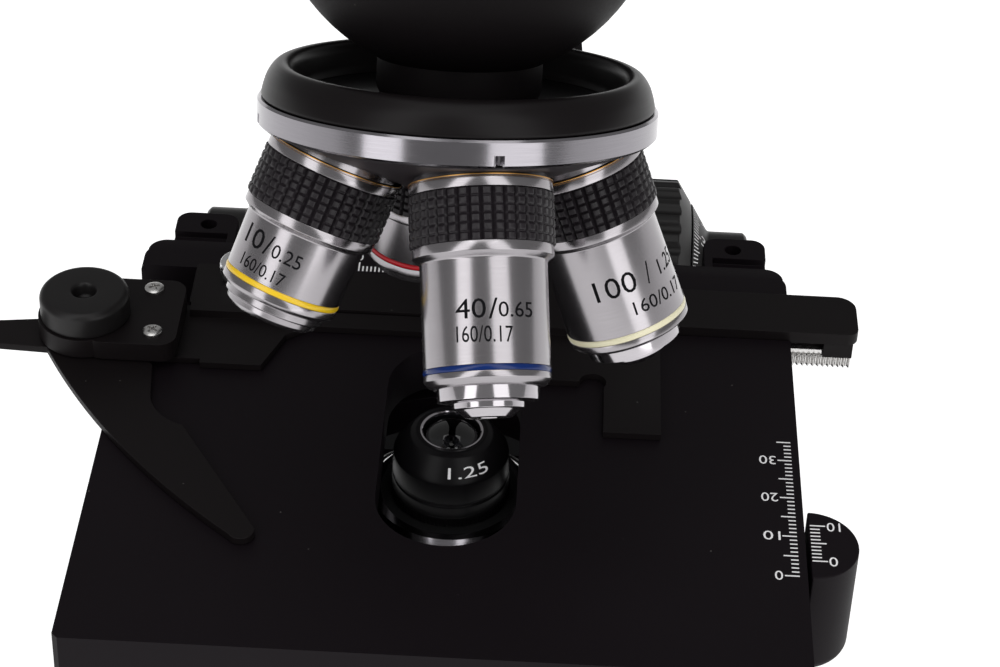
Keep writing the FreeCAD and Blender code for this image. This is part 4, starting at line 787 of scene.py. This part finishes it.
dressed("top_plate", "stage_plate", "stageBlack", "black_paint", 0.3, reshape=roundSlot)
dressed("lower_plate", "carriage", "stageBlack", "black_paint", 0.4)
dressed("vernier_post", "carriage", "stageBlack", "black_paint", 0.3)
printZ = stage["top"] + stage["print"]
half = stage["tickWidth"] / 2
ticks = [(stage["longTick"] if k % 5 == 0 else stage["shortTick"], stage["tickEnd"],
          stage["zeroY"] + k * stage["step"] - half,
          stage["zeroY"] + k * stage["step"] + half) for k in range(36)]
scaleMeshes = [barsMesh("scaleTicks", ticks, printZ)]
for value, x0 in ((0, 55.25), (10, 53.7), (20, 53.7), (30, 53.7)):
    y = stage["zeroY"] + value * stage["step"]
    scaleMeshes.append(flatWords(str(value), x0, 56.6, y - 1.12, y + 1.12, printZ, True))
beamScale = {"x": -19.9, "step": 0.76, "front": 42.7, "shortEnd": 44.3, "longEnd": 45.5, "z": 139.03}
beamTicks = [(beamScale["x"] + k * beamScale["step"] - half, beamScale["x"] + k * beamScale["step"] + half,
              beamScale["front"], beamScale["longEnd"] if k % 5 == 0 else beamScale["shortEnd"])
             for k in range(11)]
scaleMeshes.append(barsMesh("beamTicks", beamTicks, beamScale["z"]))
scaleMeshes.append(flatWords("0", -20.5, -19.3, 46.1, 48.2, beamScale["z"], True))
scaleMeshes.append(flatWords("10", -13.6, -11.1, 46.1, 48.2, beamScale["z"], True))
addPiece("stageScale", joined("stageScale", scaleMeshes), "stage_plate", "whitePrint", "black_paint")
vernier = {"zeroY": -31.4, "step": 0.89, "left": 61.65, "longEnd": 64.25, "shortEnd": 63.3}
marks = [(vernier["left"], vernier["longEnd"] if k % 5 == 0 else vernier["shortEnd"],
          vernier["zeroY"] + k * vernier["step"] - half,
          vernier["zeroY"] + k * vernier["step"] + half) for k in range(11)]
vernierMeshes = [barsMesh("vernierMarks", marks, printZ)]
vernierMeshes.append(flatWords("0", 64.45, 65.9, -32.55, -30.25, printZ, True))
vernierMeshes.append(flatWords("10", 64.5, 66.8, -23.75, -21.55, printZ, True))
addPiece("vernierScale", joined("vernierScale", vernierMeshes), "carriage", "whitePrint", "black_paint")

for node in ("traverse_bar", "clip_bracket"):
    dressed(node, "traverse", "holderBlack", "black_paint", 0.25)
dressed("slide_holder", "traverse", "holderBlack", "black_paint", 0.12)
dressed("slide_clip", "clip", "holderBlack", "black_paint", 0.15)
dressed("traverse_rails", "traverse", "steel", "steel", 0.15)
dressed("traverse_rack", "traverse", "steel", "steel", 0.04, 40.0, 1)
dressed("stage_rack", "carriage", "steel", "steel", 0.04, 40.0, 1)

clipCap = {"place": (-67.3, 19.3, 143.7), "radius": 8.05, "height": 5.0, "hole": 2.1}
capRadius, capHeight, capHole = clipCap["radius"], clipCap["height"], clipCap["hole"]
capProfile = softened([(0, 0), (capRadius - 0.15, 0), (capRadius, 0.3), (capRadius, capHeight - 0.8),
                       (capRadius - 0.8, capHeight), (capHole + 0.3, capHeight), (capHole, capHeight - 0.4),
                       (capHole - 0.5, capHeight - 2.4), (0, capHeight - 2.6)], 0.5, 5)
lathePiece("clipCap", capProfile, clipCap["place"], (0, 0, 1), "traverse", "knobBlack", "black_plastic",
           "spring_cap", count=128)


def crossScrew(name, place, radius, height, turn=20.0):
    # a low dome whose middle sinks along two crossed grooves
    rows, columns = 26, 72
    share = np.linspace(0, 1, rows)[:, None]
    angle = np.linspace(0, 2 * math.pi, columns, endpoint=False)[None, :]
    x, y = radius * share * np.cos(angle), radius * share * np.sin(angle)
    z = height * np.sqrt(np.clip(1 - 0.75 * share ** 2, 0, 1)) + 0 * angle
    a = math.radians(turn)
    u, v = x * math.cos(a) + y * math.sin(a), -x * math.sin(a) + y * math.cos(a)
    arm, wide = 0.58 * radius, 0.13 * radius
    cross = np.maximum((np.abs(u) < arm) & (np.abs(v) < wide), (np.abs(v) < arm) & (np.abs(u) < wide))
    z = z - 0.55 * height * cross
    skirt = np.stack([radius * np.cos(angle[0]), radius * np.sin(angle[0]), np.full(columns, -0.3)],
                     axis=1)[None]
    points = np.concatenate([np.stack([x, y, z], axis=2), skirt]) + np.asarray(place, float)
    return gridMesh(name, points, angle[0] * radius, np.linspace(0, radius, rows + 1), False, 40.0)


screwSpots = [(-56.0, 27.4, 143.7), (-54.6, 14.6, 143.7)]
addPiece("bracketScrews", joined("bracketScrews", [crossScrew(f"screw{k}", spot, 1.75, 0.75, 25 + 31 * k)
                                                   for k, spot in enumerate(screwSpots)]), "traverse",
         "steel", "steel", "bracket_screws")
thumb = softened([(0, 0), (3.0, 0), (3.6, 0.7), (3.6, 3.3), (3.2, 3.8), (1.2, 3.8), (1.0, 3.4), (0, 3.4)],
                 0.3, 4)


def thumbKnurl(angle, s, r):
    return -0.18 * (np.abs((angle * 32 / (2 * math.pi)) % 1 - 0.5) * 2) * (r > 3.5)


thumbMeshes = [latheMesh(f"thumb{k}", thumb, place, (0, 0, 1), count=256, relief=thumbKnurl, sharp=50.0)
               for k, place in enumerate([(-41.5, 36.2, 141.05), (22.5, 36.2, 141.05)])]
addPiece("holderScrews", joined("holderScrews", thumbMeshes), "traverse", "aluminium", "bright_aluminium",
         "holder_thumbscrews")
dressed("y_drive", "y_drive", "plasticBlack", "black_plastic", 0.1, 40.0)
dressed("x_drive", "x_drive", "plasticBlack", "black_plastic", 0.1, 40.0)
print("stage made")

# condenser
condenser = {"base": (0, 0, 123.0), "shoulder": (9.8, 9.8), "shoulderEnd": (7.3, 13.1), "lensBall": 7.0,
             "lensEdge": 5.1, "lensTop": 14.4}
dressed("condenser_body", "condenser", "anodisedFlat", "black_anodised", 0.15)


def cellKnurl(angle, s, r):
    return -0.16 * (np.abs((angle * 90 / (2 * math.pi)) % 1 - 0.5) * 2) * (r > 10.55) * (s > 0.3) * (s < 1.7)


cellProfile = [(5.2, 0), (10.5, 0), (10.6, 0.2), (10.6, 0.6), (10.6, 1.4), (10.6, 1.8), (10.5, 2.0),
               (10.4, 2.1), (10.4, 4.3),
               (10.2, 4.5), (10.2, 4.8), (10.35, 5.0), (10.2, 9.2), condenser["shoulder"],
               condenser["shoulderEnd"], (6.3, 13.5), (5.2, 13.3)]
lathePiece("condenserCell", softened(cellProfile, 0.25, 4, True), condenser["base"], (0, 0, 1), "condenser",
           "anodised",
           "black_anodised", "condenser_cell", count=720, closed=True, relief=cellKnurl, sharp=45.0)
lensBall = condenser["lensBall"]
lensTurn = np.linspace(0, math.asin(condenser["lensEdge"] / lensBall), 16)
lensTop = np.column_stack([lensBall * np.sin(lensTurn),
                           condenser["lensTop"] - lensBall + lensBall * np.cos(lensTurn)])[::-1]
lensProfile = np.vstack([[(0, 0), (5.12, 0)], lensTop])
# the lens takes the near-black tinted glass, painted shade for the dark condenser beneath it
lathePiece("condenserLens", lensProfile, condenser["base"], (0, 0, 1), "condenser", "lensGlassShadeTint", "lens",
           "condenser_lens", count=96)
lensRing = [(5.13, 12.9), (5.55, 13.25), (5.55, 13.55), (5.3, 13.6), (5.13, 13.45)]
lathePiece("lensRing", lensRing, condenser["base"], (0, 0, 1), "condenser", "collarMetal", "bright_aluminium",
           count=96, closed=True)
# a black disc just under the lens: painted shade, so the lens reads dark like the shaded inside of the
# condenser
lensShadeDisc = [(0, 122.55), (8.9, 122.55), (8.9, 122.9), (0, 122.9)]
lathePiece("lensShadeDisc", lensShadeDisc, (0, 0, 0), (0, 0, 1), "condenser", "inkBlack", "black_paint", count=96)
silverRing = [(12.4, 122.9), (13.85, 122.9), (14.6, 122.1), (14.6, 121.1), (14.73, 121.1), (14.73, 122.2),
              (13.9, 123.05), (12.4, 123.05)]
lathePiece("condenserRing", silverRing, (0, 0, 0), (0, 0, 1), "condenser", "ringMetal", "bright_aluminium",
           count=128, closed=True)


def coneWords(words, left, right, low, high):
    # the number lies on the sloping shoulder of the cell: angle from x, height from y
    mesh, flat = textPoints(words)
    angle = math.radians(-90) + np.radians(left + (right - left) * flat[:, 0])
    height = low + (high - low) * flat[:, 1]
    (wide, low), (narrow, high) = condenser["shoulder"], condenser["shoulderEnd"]
    radius = wide - (height - low) * (wide - narrow) / (high - low) + 0.06
    return setPoints(mesh, np.column_stack([radius * np.cos(angle), radius * np.sin(angle),
                                            condenser["base"][2] + height + 0.02]))


addPiece("cellNumber", coneWords("1.25", -1.0, 46.5, 10.15, 11.75), "condenser", "whitePrint", "black_paint")
dressed("condenser_carrier", "condenser", "anodisedFlat", "black_anodised", 0.3)
dressed("iris_lever", "iris", "aluminiumFlat", "bright_aluminium", 0.1)
dressed("filter_holder", "filter", "anodisedFlat", "black_anodised", 0.2)
dressed("condenser_knob", "condenser_knob", "plasticBlack", "black_plastic", 0.15)
print("condenser made")

# focus drive
focus = {"y": 115.3, "z": 91.0, "start": 28.6, "width": 17.8, "bevelFrom": 14.8, "radius": 19.7,
         "endRadius": 15.0,
         "ribs": 26, "coneRadius": 14.7, "coneWidth": 3.4, "fineGrip": 8.8, "fineWidth": 12.3}


def coarseRibs(angle, s, r):
    # round flutes: the wall stays outside radius - 0.85 (1 - (d / w)^2) between the ribs
    across = np.abs((angle * focus["ribs"] / (2 * math.pi)) % 1 - 0.5) * 2
    floorRadius = focus["radius"] - 0.85 * np.clip(1 - ((1 - across) / 0.62) ** 2, 0, 1)
    return -np.clip(r - floorRadius, 0, None) * (s > 4.3)


def onShaft(name, profile, sign, start, count=64, relief=None, sharp=35.0):
    base = (sign * start, focus["y"], focus["z"])
    return latheMesh(name, profile, base, (sign, 0, 0), (0, 0, 1), count, False, relief, sharp)


bevelShare = np.array([0.0, 0.08, 0.16, 0.24, 1.0])
bevel = np.column_stack([focus["radius"] - bevelShare * (focus["radius"] - focus["endRadius"]),
                         focus["bevelFrom"] + bevelShare * (focus["width"] - focus["bevelFrom"])])
coarse = softened([(0, 0), (15.7, 0), (18.7, 3), (19.6, 3.9), (19.7, 4.2), (19.7, 4.9)] + bevel.tolist()
                  + [(9, focus["width"]), (0, focus["width"])], 0.35, 4)
addPiece("coarseKnobs", joined("coarseKnobs", [onShaft("coarse", coarse, sign, focus["start"],
                                                       focus["ribs"] * 14, coarseRibs)
                                               for sign in (-1, 1)]), "coarse_drive", "knobBlack",
         "black_plastic", "coarse_knobs")
fineStart = focus["start"] + focus["width"] + 0.3
gripEnd, fineEnd = focus["fineGrip"], focus["fineWidth"]
fine = softened([(0, 0), (focus["coneRadius"], 0), (gripEnd + 0.4, focus["coneWidth"]),
                 (gripEnd, focus["coneWidth"] + 0.5),
                 (gripEnd, fineEnd - 0.8), (gripEnd - 0.8, fineEnd), (gripEnd - 2, fineEnd),
                 (gripEnd - 3, fineEnd - 1), (0, fineEnd - 1)], 0.25, 4)
fineMeshes = [onShaft("fine", fine, sign, fineStart, 128) for sign in (-1, 1)]
shaftProfile = [(0, 0), (2.0, 0), (2.0, 2 * fineStart + 2), (0, 2 * fineStart + 2)]
fineMeshes.append(latheMesh("fineShaft", shaftProfile, (-fineStart - 1, focus["y"], focus["z"]), (1, 0, 0),
                            count=32))
addPiece("fineKnobs", joined("fineKnobs", fineMeshes), "fine_drive", "knobBlack", "black_plastic",
         "fine_drive")


def coneRadiusAt(s):
    # the cone falls evenly from its wide end to the grip; print stands 0.03 off it
    base, width = focus["coneRadius"], focus["coneWidth"]
    return base + s * (focus["fineGrip"] + 0.4 - base) / width + 0.03


def dialNumber(sign, value):
    # a digit on the cone: its width runs down the cone, its height round it
    mesh, flat = textPoints(str(value))
    s = 2.05 + 1.0 * flat[:, 0]
    radius = coneRadiusAt(s)
    angle = value * 2 * math.pi / 10 - sign * (flat[:, 1] - 0.5) * 2.5 / 11.0
    return setPoints(mesh, np.column_stack([sign * (fineStart + s + 0.02),
                                            focus["y"] + radius * np.cos(angle),
                                            focus["z"] + radius * np.sin(angle)]))


def dialTicks(sign):
    # short white lines down the cone of the fine knob, one for each hundredth of a turn
    count = 100
    turns = np.arange(count) * 2 * math.pi / count
    length = np.where(np.arange(count) % 10 == 0, 1.6, np.where(np.arange(count) % 5 == 0, 1.35, 1.05))
    low, high = 0.30, 0.30 + length
    wide = 0.12
    corners = []
    for s, side in ((low, -1), (low, 1), (high, 1), (high, -1)):
        s = np.broadcast_to(s, turns.shape)
        radius = coneRadiusAt(s)
        angle = turns + side * wide / radius
        corners.append(np.column_stack([sign * (fineStart + s + 0.02), focus["y"] + radius * np.cos(angle),
                                        focus["z"] + radius * np.sin(angle)]))
    points = np.stack(corners, axis=1).reshape(-1, 3) * millimetre
    mesh = bpy.data.meshes.new("dialTicks")
    faces = np.arange(len(points)).reshape(-1, 4)
    mesh.from_pydata(points.tolist(), [], (faces if sign > 0 else faces[:, ::-1]).tolist())
    return mesh


dialMeshes = [dialTicks(1), dialTicks(-1)] + [dialNumber(sign, value) for sign in (-1,
                                                                                   1) for value in range(10)]
addPiece("fineTicks", joined("fineTicks", dialMeshes), "fine_drive", "whitePrint", "black_paint")
dressed("tension_collar", "tension_collar", "aluminiumFlat", "bright_aluminium", 0.25)
dressed("fine_block", "fine_block", "brass", "brass", 0.2)
dressed("focus_pinion_shaft", "coarse_drive", "steel", "steel", 0.05, 40.0, 1)
dressed("focus_carriage", "carriage", "anodisedFlat", "black_anodised", 0.3)
dressed("focus_rack", "carriage", "brass", "brass", 0.06, 40.0, 1)
print("focus drive made")


# stand
def lowGearbox(points):
    # the gearbox beside the channel ends 25 mm lower than in the CAD, hidden behind the dome as in the photo
    x, y, z = np.abs(points[:, 0]), points[:, 1], points[:, 2]
    beside = (x > 18.9) & (y > 103.9) & (z > 140) & (z < 150.01)
    points[beside, 2] -= 25.0
    return points


dressed("arm", "stand", "castBlack", "black_paint", 0.5, reshape=lowGearbox)
dressed("base_casting", "stand", "castBlack", "black_paint", 0.4)
dressed("base_cover", "stand", "castBlack", "black_paint", 0.3)
footSpots = [(-51, -41.5), (51, -41.5), (-51, 132.5), (51, 132.5)]
footProfile = softened([(0, 0), (9.0, 0), (10.0, 1.0), (9.6, 3.2), (9.6, 4.8), (0, 4.8)], 0.5, 5)
addPiece("feet", joined("feet", [latheMesh(f"foot{k}", footProfile, (x, y, studio["floorZ"]), (0, 0, 1),
                                           count=64)
                                 for k, (x, y) in enumerate(footSpots)]), "stand", "rubberBlack", "rubber",
         "rubber_feet")
housing = softened([(16.5, 0), (27, 0), (27, 3), (25, 4.5), (25, 5.2), (25, 5.3), (25, 11.2), (25, 11.3),
                    (25, 12), (23, 14), (18.5, 14), (18.5, 10), (16.5, 10)], 0.4, 4, True)


def housingRibs(angle, s, r):
    return -0.35 * (np.abs((angle * 60 / (2 * math.pi)) % 1 - 0.5) * 2) * (r > 24.9) * (s > 5.2) * (s < 11.3)


lathePiece("lampRing", housing, (0, 0, 36), (0, 0, 1), "stand", "anodised", "black_anodised", "lamp_housing",
           count=480, closed=True, relief=housingRibs, sharp=45.0)
lensHalf, lensRise = 18.0, 3.0
ballRadius = (lensHalf ** 2 + lensRise ** 2) / (2 * lensRise)
lensArc = np.linspace(math.asin(lensHalf / ballRadius), 0, 20)
fieldTop = np.column_stack([ballRadius * np.sin(lensArc),
                            2 * lensRise - ballRadius + ballRadius * np.cos(lensArc)])
fieldProfile = np.vstack([[(0, 0), (18.45, 0), (18.45, 3.0)], fieldTop])
lathePiece("fieldLens", fieldProfile, (0, 0, 46), (0, 0, 1), "stand", "frosted", "lens", "field_lens",
           count=128)
for node, body, material, slotName, edge in (("switch_frame", "stand", "plasticBlack", "black_plastic", 0.3),
                                             ("switch_rocker", "switch", "glossBlack", "gloss_black", 0.3),
                                             ("dimmer_dial", "dimmer", "plasticBlack", "black_plastic", 0.2),
                                             ("power_inlet", "stand", "plasticBlack", "black_plastic", 0.15),
                                             ("light_source", "stand", "lampWhite", "lamp", 0.1)):
    dressed(node, body, material, slotName, edge)
print("stand made")

# head
dressed("head_body", "head", "castBlack", "black_paint", 0.4)
dressed("camera_body", "head", "anodisedFlat", "black_anodised", 0.4)
dressed("usb_socket", "head", "steel", "steel", 0.2)
dressed("head_lock_screw", "head_lock", "aluminiumFlat", "bright_aluminium", 0.3)
eye = {"base": (0.0, 2.0, 313.3), "axis": (0.0, math.sqrt(0.5), math.sqrt(0.5))}
tubeProfile = softened([(11.65, 26), (13.55, 26), (13.55, 34), (14.2, 34.2), (14.2, 61), (13.6, 64),
                        (11.65, 64)], 0.4, 4, True)
lathePiece("eyeTube", tubeProfile, eye["base"], eye["axis"], "head", "aluminium", "bright_aluminium",
           "eyepiece_tube", count=128, closed=True)
barrelProfile = softened([(9.6, 40), (11.6, 40), (11.6, 64), (14.6, 64), (14.6, 76), (13.4, 78), (9.6, 78),
                          (9.6, 74)], 0.3, 4, True)
lathePiece("eyeBarrel", barrelProfile, eye["base"], eye["axis"], "eyepiece", "anodised", "black_anodised",
           "eyepiece_barrel", count=128, closed=True)
cupProfile = softened([(9.6, 78), (13.4, 78), (16.2, 81), (16.6, 88), (15.4, 88), (14.2, 82.4), (9.6, 79.6)],
                      0.6, 5, True)
lathePiece("eyeCup", cupProfile, eye["base"], eye["axis"], "eyepiece", "rubberBlack", "rubber", "eyecup",
           count=128, closed=True)
eyeLens = np.vstack([[(0, 75), (9.55, 75), (9.55, 77)], np.column_stack([np.linspace(9.4, 0, 14),
                                      78.4 - 1.4 * (np.linspace(9.4, 0, 14) / 9.4) ** 2])])
lathePiece("eyeLens", eyeLens, eye["base"], eye["axis"], "eyepiece", "glass", "lens", "eye_lens", count=96)
print("head made")
